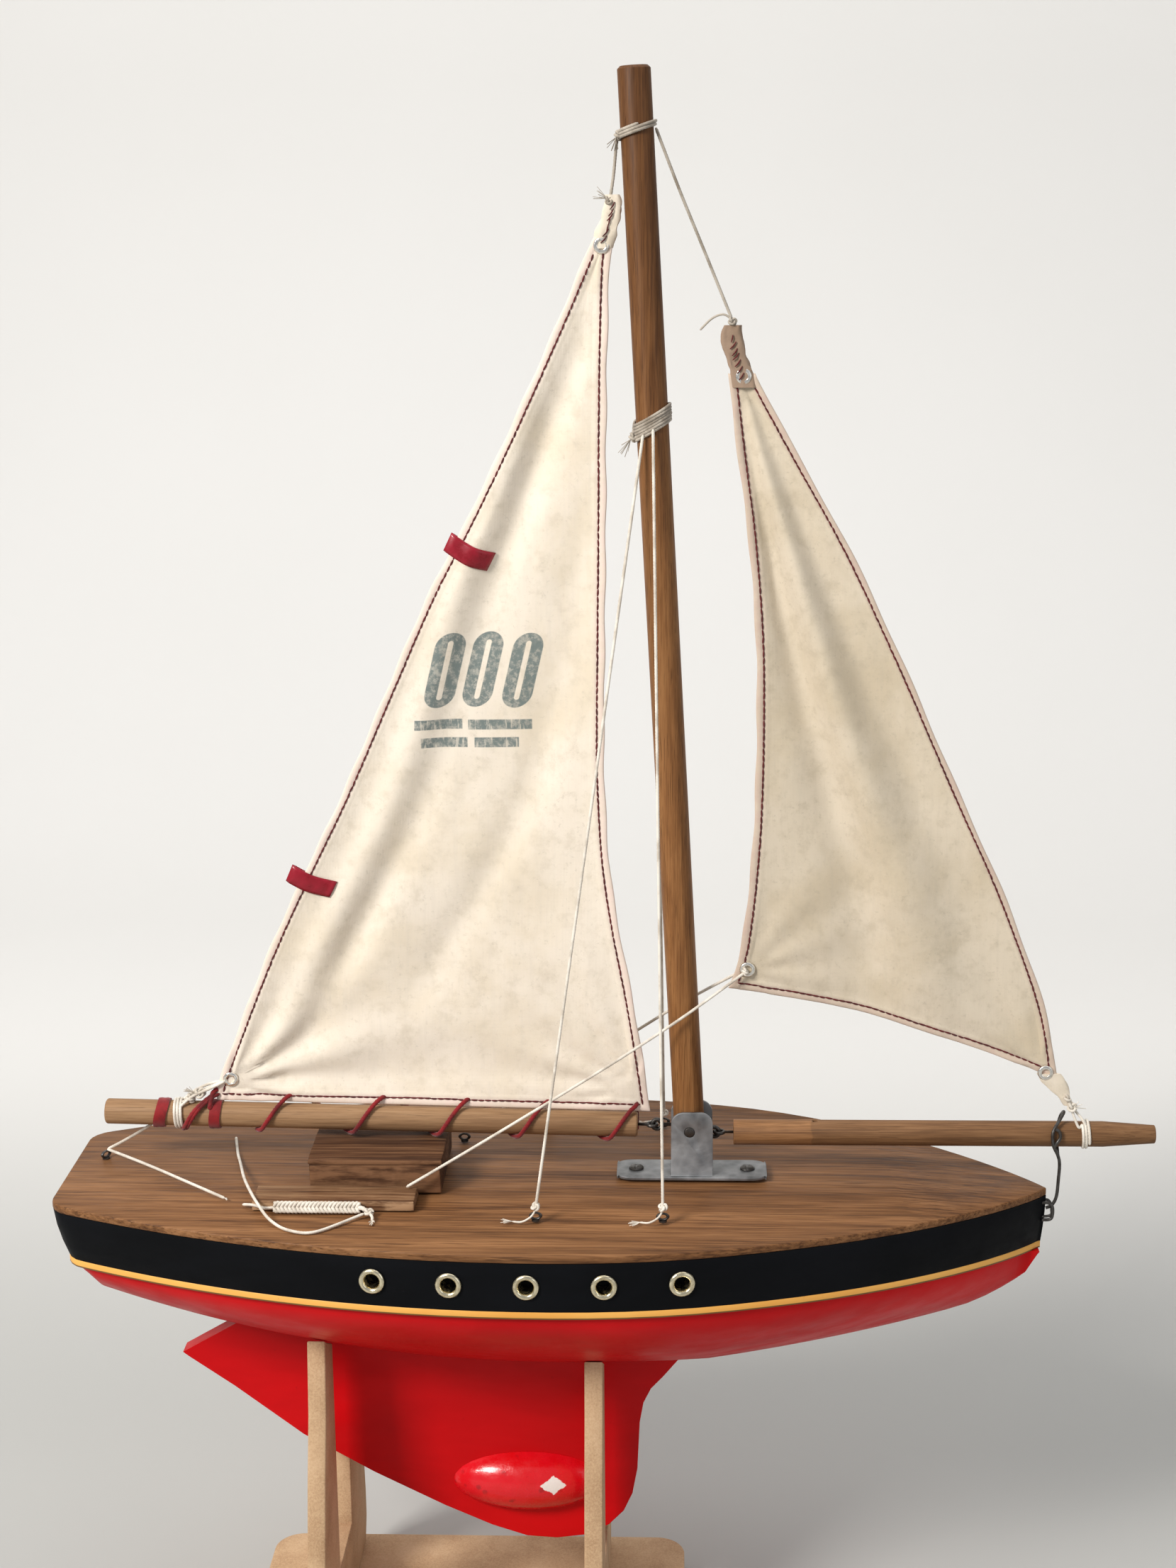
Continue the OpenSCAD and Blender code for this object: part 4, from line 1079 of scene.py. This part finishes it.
class BOAT_OT_halyards(Operator):
    """Cords from the mast head to the heads of both sails"""
    bl_idname = "boat.halyards"
    bl_label = "Halyards"

    def execute(self, context):
        main = [(mast_at(391) - 6.4, -1.2, 390.5), (25.8, -0.8, 384), (25.0, -0.5, 376), (23.8, -0.4, 367.8)]

        def main_knot(bm):
            knot(bm, (23.5, -0.4, 366.6), 1.5, 1.0, (1.2, 0.2, 0))
            fray(bm, (22.6, -0.4, 367.2), (-1, -0.1, 0.5), 7, 6.5, 0.5, 11)

        a = cord_piece("main_halyard_cord", [main], None, "main_halyard", grey_yarn(), extras=main_knot)
        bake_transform(a)
        jib = [(mast_at(391) + 6.6, -0.8, 391), (48, -0.6, 370), (57, -0.4, 348.5), (66.6, -0.3, 325.4)]

        def jib_knot(bm):
            knot(bm, (66.9, -0.3, 324.4), 1.5, 1.0, (1.0, 0.5, 0))
            end = [(66.6, -0.4, 325.2), (63.6, -0.8, 326.8), (59.6, -0.9, 325.4), (55.4, -0.8, 321.4)]
            add_cord(bm, end, 0.9, sides=8)

        b = cord_piece("jib_halyard_cord", [jib], None, "jib_halyard", grey_yarn(), extras=jib_knot)
        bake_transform(b)
        return {"FINISHED"}


class BOAT_OT_sheets(Operator):
    """Mainsheet with its tail on deck, and the two jib sheets"""
    bl_idname = "boat.sheets"
    bl_label = "Sheets"

    def execute(self, context):
        main = [(-157, 0, boom_at(-157) - BOOM_R + 0.2), (-164, 3.3, 13.4), (-171, 6.6, 8.4),
            (-177.6, 9.3, 4.1)]
        a = cord_piece("mainsheet_cord", [main], None, "mainsheet")
        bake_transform(a)
        tail = [(-177.8, 9.3, 4.0), (-160, -3, 3), (-142, -16.5, 1.9), (-124, -30, 0.7)]
        cord_piece("sheet_tail_cord", [tail], "hull", "sheet_tail",
            extras=lambda bm: fray(bm, tail[-1], (1, -0.8, 0), 5, 2.2, 0.35, 21, droop_to=0.25))
        near = [(74, -1.6, 82.5), (50, -8.6, 66.5), (25, -13.5, 50.8), (0, -18.3, 36.2), (-28, -23.2, 20),
            (-55, -28, 4.8)]

        def clew_knot(bm):
            knot(bm, (73.2, -1.9, 82.0), 1.4, 1.0, (0.2, 1.0, 0))
            add_cord(bm, [(73.0, -1.2, 82.0), (71.6, 0.0, 80.0), (72.4, 1.4, 82.0)], 1.1, sides=8)

        b = cord_piece("jib_sheet_starboard_cord", [near], None, "jib_sheet_starboard", extras=clew_knot)
        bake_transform(b)
        far = [(74, 1.6, 82.5), (50, 8.6, 66.5), (25, 14, 48.5), (0, 20, 31), (-22, 25.5, 15.5),
            (-37, 29.5, 5.6)]
        c = cord_piece("jib_sheet_port_cord", [far], None, "jib_sheet_port",
            extras=lambda bm: knot(bm, (-37.4, 29.5, 5.6), 1.5, 1.1, (0.4, 0.2, 0.9)))
        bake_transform(c)
        return {"FINISHED"}


class BOAT_OT_tack_lashing(Operator):
    """Cord that ties the jib's tack to the bowsprit"""
    bl_idname = "boat.tack_lashing"
    bl_label = "Tack lashing"

    def execute(self, context):
        turns = wound((202.6, 0, SPRIT_Z), ALONG_X, 5.15, 1.15, 2.3, 1.2, 0.15, 6)

        def tie(bm):
            add_cord(bm, [turns[0], (200.8, -3.6, 20.6), (198.4, -1.8, 26.6), (197.4, -1.5, 30.2)], 1.1,
                sides=10)
            add_cord(bm, [turns[-1], (203.2, -2.4, 21.8), (199.4, -0.6, 26.8), (198.0, 0.8, 30.0)], 1.1,
                sides=10)
            knot(bm, (198.4, -1.6, 28.0), 1.9, 1.2, (0.8, 0.5, 0.1))
            knot(bm, (196.6, -0.6, 31.2), 1.7, 1.1, (0.1, 0.9, 0.5))
            fray(bm, (199.0, -1.8, 28.0), (1, -0.3, 0.5), 6, 5.0, 0.6, 31)

        cord_piece("tack_lashing_cord", [turns], "hull", "tack_lashing", extras=tie)
        return {"FINISHED"}


# ---------------------------------------------------------------- boom lacing


def on_boom(s, y, z):
    """A point a distance s aft of the boom's fore end, y to port and z above its centre line."""
    return Vector((BOOM_FORE.x - s, y, BOOM_FORE.z + s * SLOPE + z))


# Where the lacing crosses over the boom, measured aft from its fore end, and half of each crossing
LACING = [7, 42, 73, 106, 142]
CROSSING = 6.5


class BOAT_OT_foot_lacing(Operator):
    """Red cord that laces the mainsail's foot to the boom"""
    bl_idname = "boat.foot_lacing"
    bl_label = "Foot lacing"

    def execute(self, context):
        near = [(0, -5.9), (-4.3, -4.4), (-5.95, -0.6), (-5.1, 3.1), (-3.0, 6.1), (-1.0, 8.2)]
        far = [(1.0, 8.2), (3.0, 6.1), (5.1, 3.1), (5.95, -0.6), (4.3, -4.4)]
        path = []
        for k, s in reversed(list(enumerate(LACING))):
            for i, (y, z) in enumerate(near):
                path.append(on_boom(s + CROSSING - 2 * CROSSING * i / 5, y, z))
            ahead = LACING[k - 1] + CROSSING if k else s - CROSSING
            for i, (y, z) in enumerate(far):
                path.append(on_boom(s - CROSSING + (ahead - s + CROSSING) * (i + 0.5) / 5.5, y, z))
        cord_piece("foot_lacing_cord", [path], "boom_and_mainsail", "foot_lacing", red_yarn(), 1.9, "red_cord",
            pitch=4.2, depth=0.2)
        return {"FINISHED"}


def band_round_boom(bm, s, width, lean, thick=0.75):
    """A flat band wrapped round the boom, leaning aft as it goes down."""
    first = len(bm.verts)
    section = ((-0.5, 0.02), (-0.5, thick), (-0.25, thick + 0.16), (0, thick + 0.04), (0.25, thick + 0.16),
        (0.5, thick), (0.5, 0.02))
    row = [bm.verts.new(at(*on_boom(s + w * width, 0, BOOM_R + r))) for w, r in section]
    edges = [bm.edges.new((a, b)) for a, b in zip(row, row[1:] + row[:1])]
    middle = at(*on_boom(s, 0, 0))
    bmesh.ops.spin(bm, geom=row + edges, cent=middle, axis=ALONG_X, dvec=(0, 0, 0), angle=2 * math.pi,
        steps=40, use_merge=True)
    bm.verts.ensure_lookup_table()
    for v in bm.verts[first:]:
        turn = math.atan2(v.co.z - middle.z, v.co.y - middle.y)
        v.co.x -= lean * math.sin(turn) * MM
        v.co.x += 0.10 * MM * math.sin(3 * turn + 1)


class BOAT_OT_outhaul(Operator):
    """Red outhaul bands and the white clew lashing at the boom's after end"""
    bl_idname = "boat.outhaul"
    bl_label = "Outhaul and clew lashing"

    def execute(self, context):
        bm = bmesh.new()
        band_round_boom(bm, 185.0, 4.6, -1.1)
        band_round_boom(bm, 163.8, 4.2, -0.4)
        diagonal = [on_boom(*p) for p in ((177.0, 0.6, -5.9), (176.2, -3.6, -4.9), (174.2, -6.0, -1.4),
            (171.6, -5.6, 2.6), (168.4, -3.6, 5.6), (165.4, -1.6, 7.6), (163.4, -0.4, 8.2))]
        beside = [p + Vector((1.2, -0.1, 0.1)) for p in diagonal]
        over = [on_boom(*p) for p in ((165.6, -4.4, 3.2), (165.2, -2.8, 6.4), (164.4, -0.8, 9.2),
            (162.6, 1.0, 9.4), (162.4, 4.2, 3.8))]
        for path, thick in ((diagonal, 2.0), (beside, 1.6), (over, 2.2)):
            add_cord(bm, path, thick, depth=0.18, pitch=6)
        finished("outhaul_bands_look", bm, red_yarn(), "boom_and_mainsail", "outhaul_bands", 60)
        turns = wound(on_boom(179.6, 0, 0), ALONG_X, 5.55, 1.2, 2.6, 0.4, 0.12, 12)
        eye = Vector((-125.5, -0.8, boom_at(-125.5) + 14.5))

        def ties(bm):
            for k, (dy, ds) in enumerate(((-2.6, 0.0), (-1.2, 1.0), (0.8, 1.8), (2.4, 0.4))):
                strand = [on_boom(177.4 + ds * 0.6, dy * 1.6, 4.6 - abs(dy) * 0.3),
                    on_boom(172.6 - ds, dy * 0.9 - 0.5, 7.8 + 0.3 * k),
                    on_boom(166.0 - ds, dy * 0.5 - 0.6, 10.8 + 0.5 * k),
                    eye + Vector((-2.4 + k * 0.3, dy * 0.25, -0.6))]
                add_cord(bm, strand, 1.2, sides=10)
            knot(bm, on_boom(169.6, -1.4, 9.0), 2.0, 1.2, (0.9, 0.3, 0.4))
            knot(bm, on_boom(173.4, -1.6, 6.8), 1.8, 1.2, (0.2, 0.8, 0.1))
            fray(bm, on_boom(172.0, -1.8, 9.2), (-1, -0.2, 0.7), 7, 4.5, 0.5, 41)

        cord_piece("clew_lashing_cord", [turns], "boom_and_mainsail", "clew_lashing", extras=ties)
        return {"FINISHED"}


# ---------------------------------------------------------------- sails

# Edges of the sails from foot to head, as (x, z) in millimetres from the deck
MAIN_AFT = [(-131.5, 28.6), (-129.5, 38), (-111, 84), (-95.5, 117), (-79.5, 149), (-60.5, 191), (-44.5, 226),
    (-30.5, 252), (-15, 283), (1, 317), (13.5, 345), (17.5, 354)]
MAIN_FORE = [(37.2, 24.8), (31.5, 64), (25.4, 98), (21.8, 125), (20.2, 160), (20.6, 200), (21.4, 250),
    (22.0, 300), (23.2, 340), (24.6, 354)]
JIB_AFT = [(67, 75), (72, 95), (76, 140), (76.5, 200), (73.5, 243), (70, 270), (66.6, 296), (65.6, 306)]
JIB_FORE = [(192.5, 38.5), (187, 67), (171, 110), (152, 152), (132, 197), (111.5, 240), (88, 282),
    (77.8, 301), (75.4, 306)]


def along(edge, t):
    """A point at share t of an edge's height."""
    z = edge[0][1] + (edge[-1][1] - edge[0][1]) * t
    for (xa, za), (xb, zb) in zip(edge, edge[1:]):
        if z <= zb or (xb, zb) == edge[-1]:
            f = (z - za) / (zb - za)
            return Vector((xa + (xb - xa) * f, z))


def rounded_edge(edge):
    """The edge as a smooth line of points."""
    return [(p.x, p.y) for p in smooth_line([(x, z, 0) for x, z in edge], 2.0)]


class Sail:
    """The flat outline of a sail, whose foot curves up by its hollow."""

    def __init__(self, aft, fore, hollow):
        self.aft = rounded_edge(aft)
        self.fore = rounded_edge(fore)
        self.hollow = hollow
        self.height = self.fore[-1][1] - self.fore[0][1]

    def row(self, v):
        """The after and fore ends of the row at share v of the height."""
        return along(self.aft, v), along(self.fore, v)

    def spot(self, u, v):
        """The flat place (x, z) at share u from the after edge and share v of the height."""
        a, b = self.row(v)
        p = a.lerp(b, u)
        p.y += self.hollow * 4 * u * (1 - u) * (1 - v) ** 3
        return p

    def width(self, v):
        a, b = self.row(v)
        return (b - a).length


def pulled(depth, x, z, corners, phase, near):
    """Adds the small folds that fan out from corners given as (x, z, reach, count, size)."""
    for cx, cz, reach, count, size in corners:
        dx, dz = x - cx, z - cz
        r = math.hypot(dx, dz)
        depth += size * math.sin(count * math.atan2(dz, dx) + phase) * math.exp(-r / reach) * min(1, r / near)
    return depth


def ripple(x, z, broad, fine):
    """Gentle unevenness of the cloth, from two (x scale, z scale, seed) noises."""
    soft = noise.noise(Vector((x * broad[0], z * broad[1], broad[2])))
    small = noise.noise(Vector((x * fine[0], z * fine[1], fine[2])))
    return 1.1 * soft + 0.35 * small


def main_depth(x, z):
    """How far the mainsail's cloth stands to port of its middle plane, in millimetres."""
    v = min(1, max(0, (z - 26) / 330))
    a, b = MAIN.row(v)
    w = max(6.0, b.x - a.x)
    c = min(1, max(0, (x - a.x) / w))
    calm = math.sin(math.pi * c) ** 0.8
    depth = sizes().main_belly / MM * calm * (1 - 0.35 * v) * math.sin(math.pi * min(1, v * 1.05 + 0.12)) ** 0.7
    # A long soft crease beside the after edge and a shallower one in the middle
    off = (x - a.x) * 0.90
    lane = 20 + 9 * math.sin(v * 5.0)
    fade = min(1, v * 5) * min(1, (1 - v) * 4.0)
    depth += 3.4 * math.exp(-((off - lane) / 5.5) ** 2) * fade * (0.60 + 0.40 * math.sin(v * 9 + 0.6))
    depth -= 2.4 * math.exp(-((off - lane + 11) / 6.0) ** 2) * fade
    depth += 2.0 * math.exp(-((off - lane * 1.9 - 8) / 7.0) ** 2) * fade * max(0, math.sin(v * 4.2))
    corners = ((-125, 36, 70, 13, 1.7), (30, 34, 42, 15, 1.1), (20, 348, 50, 9, 0.7))
    depth = pulled(depth, x, z, corners, 0.8, 12)
    depth += ripple(x, z, (0.035, 0.022, 1.7), (0.11, 0.07, 4.7)) * calm
    rim = min(1, min(c * w, (1 - c) * w) / 9)
    return depth * min(1.0, 0.25 + 0.75 * rim) * min(1, max(0, (z - 26)) / 14 + 0.12)


def jib_depth(x, z):
    """How far the jib's cloth stands to port of its middle plane, in millimetres."""
    v = min(1, max(0, (z - 40) / 266))
    t = min(1, max(0, (z - 76) / 230))
    ax = along(JIB.aft, t).x
    bx = along(JIB.fore, v).x
    w = max(6.0, bx - ax)
    c = min(1, max(0, (x - ax) / w))
    calm = math.sin(math.pi * c) ** 0.8
    ridge = 0.66 - 0.26 * v ** 0.8 + 0.05 * math.sin(v * 6)
    fade = min(1, v * 3.2 + 0.15) * min(1, (1 - v) * 3.2)
    depth = 1.6 * calm * (1 - 0.4 * v)
    depth -= sizes().jib_fold / MM * math.exp(-((c - ridge) / 0.13) ** 2) * fade
    depth += 3.6 * math.exp(-((c - ridge + 0.20) / 0.10) ** 2) * fade
    depth += 0.9 * math.exp(-((c - ridge - 0.22) / 0.10) ** 2) * fade
    corners = ((74, 82, 36, 11, 0.6), (186, 44, 46, 12, 0.8), (71, 300, 50, 7, 0.7))
    depth = pulled(depth, x, z, corners, 0.3, 10)
    depth += ripple(x, z, (0.04, 0.025, 6.1), (0.12, 0.07, 2.2)) * calm
    rim = min(1, min(c * w, (1 - c) * w) / 8)
    return depth * min(1.0, 0.2 + 0.8 * rim)


MAIN = Sail(MAIN_AFT, MAIN_FORE, 0.0)
JIB = Sail(JIB_AFT, JIB_FORE, 4.6)

# Distances in from a sail's edge, and the cloth's fullness at each: a rolled hem with a stitched groove
HEM = [0.0, 0.5, 1.1, 1.8, 2.4, 2.8, 3.2, 3.8, 4.5, 5.1, 5.6]
PUFF = [0.30, 0.72, 0.95, 0.92, 0.66, 0.40, 0.58, 0.72, 0.66, 0.40, 0.34]


def puff(d):
    """The cloth's thickness, as a share of the hem's, at a distance from the edge."""
    for (a, pa), (b, pb) in zip(zip(HEM, PUFF), list(zip(HEM, PUFF))[1:]):
        if d <= b:
            return pa + (pb - pa) * (d - a) / (b - a)
    return 0.34


def sail_piece(name, sail, depth, body, node, material, columns, rows):
    """Lays a grid over the sail, curves it, and gives the hem its fullness."""
    bm = bmesh.new()
    bmesh.ops.create_grid(bm, x_segments=columns, y_segments=rows, size=0.5)
    rim = bm.verts.layers.float.new("rim")
    weight = bm.verts.layers.deform.verify()
    edge = len(HEM)
    tops = sorted({round(v.co.y, 6) for v in bm.verts})
    sides = sorted({round(v.co.x, 6) for v in bm.verts})
    shares = [h / sail.height for h in HEM]
    high = [shares[-1] + (1 - shares[-1]) * k / (len(tops) - edge) for k in range(1, len(tops) - edge + 1)]
    level = dict(zip(tops, shares + high))
    order = {x: i for i, x in enumerate(sides)}
    last = len(sides) - 1
    for v in bm.verts:
        t = level[round(v.co.y, 6)]
        i = order[round(v.co.x, 6)]
        w = sail.width(t)
        room = min(1.0, w * 0.45 / HEM[-1])
        if i < edge:
            off = HEM[i] * room
        elif i > last - edge:
            off = w - HEM[last - i] * room
        else:
            a = HEM[-1] * room
            off = a + (w - 2 * a) * (i - edge + 1) / (last - 2 * edge + 2)
        p = sail.spot(off / w, t)
        d = min(off, w - off, t * sail.height)
        v[rim] = 1.0 if d < 2.9 else max(0.0, 1 - (d - 2.9) / 1.2)
        v[weight][0] = puff(d)
        wave = 0.25 * math.sin(p.y * 0.21 + p.x * 0.13) if off < 3 or w - off < 3 else 0
        v.co = at(p.x + wave, depth(p.x, p.y), p.y)
    obj = finished(name, bm, material, body, node, angle=180)
    obj.vertex_groups.new(name="fullness")
    wall = obj.modifiers.new("cloth", "SOLIDIFY")
    wall.thickness = 0.0010
    wall.offset = 0
    wall.vertex_group = "fullness"
    wall.use_rim = True
    area = sum(p.area for p in obj.data.polygons)
    return obj, area


def flat_path(sail, which, inset, start, end):
    """Points a millimetre apart and an inset away from one edge of a sail, as (x, z)."""
    out = []
    n = int(sail.width(0) if which == "foot" else sail.height)
    for k in range(n + 1):
        t = start + (end - start) * k / n
        if which == "foot":
            out.append(sail.spot(t, inset / sail.height))
        else:
            w = sail.width(t)
            keep = min(inset, w * 0.3)
            out.append(sail.spot(keep / w if which == "aft" else 1 - keep / w, t))
    return out


def seams(name, sail, depth, body, ends):
    """Stitches sunk in both faces of the cloth along its after, fore and foot edges, between pairs of ends."""
    bm = bmesh.new()
    rng = random.Random(7)
    size = sizes().stitch / MM
    for which, (start, end) in zip(("aft", "fore", "foot"), ends):
        path = flat_path(sail, which, sizes().hem / MM, start, end)
        run, spots = 0.0, [(0.0, path[0])]
        for a, b in zip(path, path[1:]):
            run += (b - a).length
            spots.append((run, b))
        k = 0

        def place(s):
            nonlocal k
            while k < len(spots) - 2 and spots[k + 1][0] < s:
                k += 1
            (sa, a), (sb, b) = spots[k], spots[k + 1]
            return a.lerp(b, (s - sa) / max(1e-6, sb - sa))

        s = 0.3
        while s + size < run:
            jitter = rng.uniform(-0.16, 0.16)
            places = [place(s), place(s + size / 2), place(s + size)]
            for side in (-1, 1):
                points = []
                for i, q in enumerate(places):
                    lift = 0.16 + (0.30 if i == 1 else 0.10)
                    points.append(Vector((q.x + jitter * (i - 1), depth(q.x, q.y) + side * lift,
                        q.y + jitter * 0.6)))
                add_cord(bm, points, 0.86, lobes=1, depth=0.0, sides=6, step=size / 3)
            s += size + 0.12
    return finished(name, bm, thread_finish(), body, angle=80)


def gathered(name, body, rows, material, seed, stitched=True):
    """A folded, gathered point of cloth through rows of (x, z, width), with a few red stitches if asked for."""
    bm = bmesh.new()
    loops = []
    line = smooth_line([(x, 0, z) for x, z, _ in rows], 0.8)
    for i, p in enumerate(line):
        t = i / (len(line) - 1)
        k = t * (len(rows) - 1)
        j = min(int(k), len(rows) - 2)
        half = (rows[j][2] * (1 - k + j) + rows[j + 1][2] * (k - j)) / 2
        capped = i in (0, len(line) - 1)
        ring = bmesh.ops.create_circle(bm, cap_ends=capped, segments=22, radius=1)["verts"]
        loops.append(list(dict.fromkeys(e for v in ring for e in v.link_edges)))
        for v in ring:
            a = math.atan2(v.co.y, v.co.x)
            crumple = 0.30 * noise.noise(Vector((math.cos(a) * 1.8, math.sin(a) * 1.8 + seed, i * 0.18)))
            pleat = 1 + 0.28 * math.cos(2 * a + 0.6) * math.sin(t * 3)
            side = 1.05 * math.sin(a) * pleat + 1.6 * crumple
            v.co = at(p.x + half * math.cos(a) * (1 + crumple), side, p.z)
    for a, b in zip(loops, loops[1:]):
        bmesh.ops.bridge_loops(bm, edges=a + b)
    fold = finished(name, bm, material, body, angle=60)
    if not stitched:
        return fold
    bm = bmesh.new()
    rng = random.Random(seed)
    for k in range(7):
        t = 0.2 + 0.1 * k
        p = line[int(t * (len(line) - 1))]
        w = rng.uniform(0.3, 1.4)
        points = [(p.x - w, -1.25, p.z - 1.2), (p.x, -1.5, p.z), (p.x + w * 0.7, -1.25, p.z + 1.4)]
        add_cord(bm, points, 0.6, lobes=1, depth=0, sides=6, step=0.8)
    finished(name + "_stitches", bm, thread_finish(), body, angle=80)
    return fold


class BOAT_OT_mainsail(Operator):
    """Mainsail with its hems, seams, printed mark, head fold and eyelets"""
    bl_idname = "boat.mainsail"
    bl_label = "Mainsail"

    def execute(self, context):
        body = "boom_and_mainsail"
        # The third colour is the hem's tint: painted shade of the double cloth, which holds back the light from
        # behind.
        cloth = sailcloth("cotton mainsail", tuple(colours().cloth), (0.80, 0.64, 0.56), printed=True)
        sail, area = sail_piece("mainsail_cloth", MAIN, main_depth, body, "mainsail", cloth, 74, 190)
        seam = seams("mainsail_seams", MAIN, main_depth, body, ((0.01, 0.985), (0.008, 0.985), (0.012, 0.988)))
        rows = [(20.6, 350, 7.0), (22.4, 356, 7.6), (23.8, 361, 7.0), (24.8, 366, 6.4), (24.6, 368.5, 5.0)]
        fold = gathered("mainsail_head", body, rows, cloth, 2)
        rings = softened("main_eyelets", nickel(), 0.0001, 1, angle=50, smooth=60)
        return {"FINISHED"}


class BOAT_OT_jib(Operator):
    """Jib with its hems, seams, head fold and eyelets"""
    bl_idname = "boat.jib"
    bl_label = "Jib"

    def execute(self, context):
        white = tuple(colours().cloth)
        # The jib's cotton is the mainsail's darkened: painted shade for the jib turned away from the light. Its
        # darker brown hem tint is painted shade of the double cloth.
        grey = tuple(c * k for c, k in zip(white, (0.80, 0.775, 0.72)))
        cloth = sailcloth("cotton jib", grey, (0.56, 0.42, 0.345), shade=0.96)
        worn = sailcloth("worn jib cloth", (0.36, 0.255, 0.185), (0.30, 0.17, 0.12), shade=0.8)
        clean = sailcloth("gathered jib cloth", white, (0.66, 0.52, 0.45), shade=0.96)
        sail, area = sail_piece("jib_cloth", JIB, jib_depth, "jib", "jib", cloth, 62, 150)
        seam = seams("jib_seams", JIB, jib_depth, "jib", ((0.012, 0.985), (0.012, 0.985), (0.02, 0.98)))
        rows = [(71.4, 301, 8.4), (69.8, 307, 8.2), (67.8, 314, 7.6), (66.6, 320, 7.8), (67.2, 323, 6.2)]
        fold = gathered("jib_head", "jib", rows, worn, 5)
        rows = [(189.0, 41.0, 9.0), (191.2, 38.0, 9.4), (193.4, 34.6, 7.2), (195.6, 31.2, 4.8),
            (197.2, 28.2, 3.8)]
        tack = gathered("jib_tack", "jib", rows, clean, 9, stitched=False)
        rings = softened("jib_eyelets", nickel(), 0.0001, 1, angle=50, smooth=60)
        return {"FINISHED"}


class BOAT_OT_leech_tabs(Operator):
    """Dark red tape tabs folded round the mainsail's after edge"""
    bl_idname = "boat.leech_tabs"
    bl_label = "Leech tabs"

    def execute(self, context):
        bm = bmesh.new()
        for corners in (((-35.0, 249.4), (-38.2, 242.8), (-22.4, 235.0), (-19.0, 241.6)),
                ((-98.2, 123.6), (-101.0, 117.2), (-84.6, 110.6), (-81.4, 116.8))):
            top_aft, low_aft, low_fore, top_fore = (Vector(c) for c in corners)
            for side in (-1, 1):
                grid = bmesh.ops.create_grid(bm, x_segments=14, y_segments=6, size=0.5)["verts"]
                for v in grid:
                    t, k = v.co.x + 0.5, v.co.y + 0.5
                    q = low_aft.lerp(low_fore, t).lerp(top_aft.lerp(top_fore, t), k)
                    q.y -= 1.1 * math.sin(math.pi * t)
                    lift = (0.75 + 0.30 * math.sin(math.pi * k)) * (1.0 if t > 0.02 else 0.0)
                    v.co = at(q.x, main_depth(q.x, q.y) + side * lift, q.y)
        bmesh.ops.remove_doubles(bm, verts=bm.verts, dist=1e-5)
        obj = finished("leech_tabs_look", bm, tape("red tape"), "boom_and_mainsail", "leech_tabs",
            70)
        wall = obj.modifiers.new("tape", "SOLIDIFY")
        wall.thickness = 0.0003
        return {"FINISHED"}


# ---------------------------------------------------------------- panel and registration

STEPS = (
    BOAT_OT_camera, BOAT_OT_loose_line, BOAT_OT_stage, BOAT_OT_stand, BOAT_OT_hull, BOAT_OT_keel,
    BOAT_OT_portholes, BOAT_OT_cabin, BOAT_OT_mast_shoe, BOAT_OT_deck_eyes, BOAT_OT_stem_wire, BOAT_OT_braid,
    BOAT_OT_spars, BOAT_OT_mast_lashings, BOAT_OT_shrouds, BOAT_OT_halyards, BOAT_OT_sheets,
    BOAT_OT_tack_lashing, BOAT_OT_foot_lacing, BOAT_OT_outhaul, BOAT_OT_mainsail, BOAT_OT_jib,
    BOAT_OT_leech_tabs,
)


class BOAT_PT_panel(Panel):
    """Lists the boat's sizes, colours and building steps"""
    bl_idname = "BOAT_PT_panel"
    bl_label = "Toy Sailing Boat"
    bl_space_type = "VIEW_3D"
    bl_region_type = "UI"
    bl_category = "Boat"

    def draw(self, context):
        for group in (context.scene.boat_sizes, context.scene.boat_colours):
            for key in group.__annotations__:
                self.layout.prop(group, key)
        for step in STEPS:
            self.layout.operator(step.bl_idname)


CLASSES = (BoatSizes, BoatColours, *STEPS, BOAT_PT_panel)


def register():
    for c in CLASSES:
        bpy.utils.register_class(c)
    bpy.types.Scene.boat_sizes = PointerProperty(type=BoatSizes)
    bpy.types.Scene.boat_colours = PointerProperty(type=BoatColours)


def unregister():
    del bpy.types.Scene.boat_sizes
    del bpy.types.Scene.boat_colours
    for c in reversed(CLASSES):
        bpy.utils.unregister_class(c)


def main():
    register()
    for step in STEPS:
        group, name = step.bl_idname.split(".")
        getattr(getattr(bpy.ops, group), name)()
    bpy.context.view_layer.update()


if __name__ == "__main__":
    main()
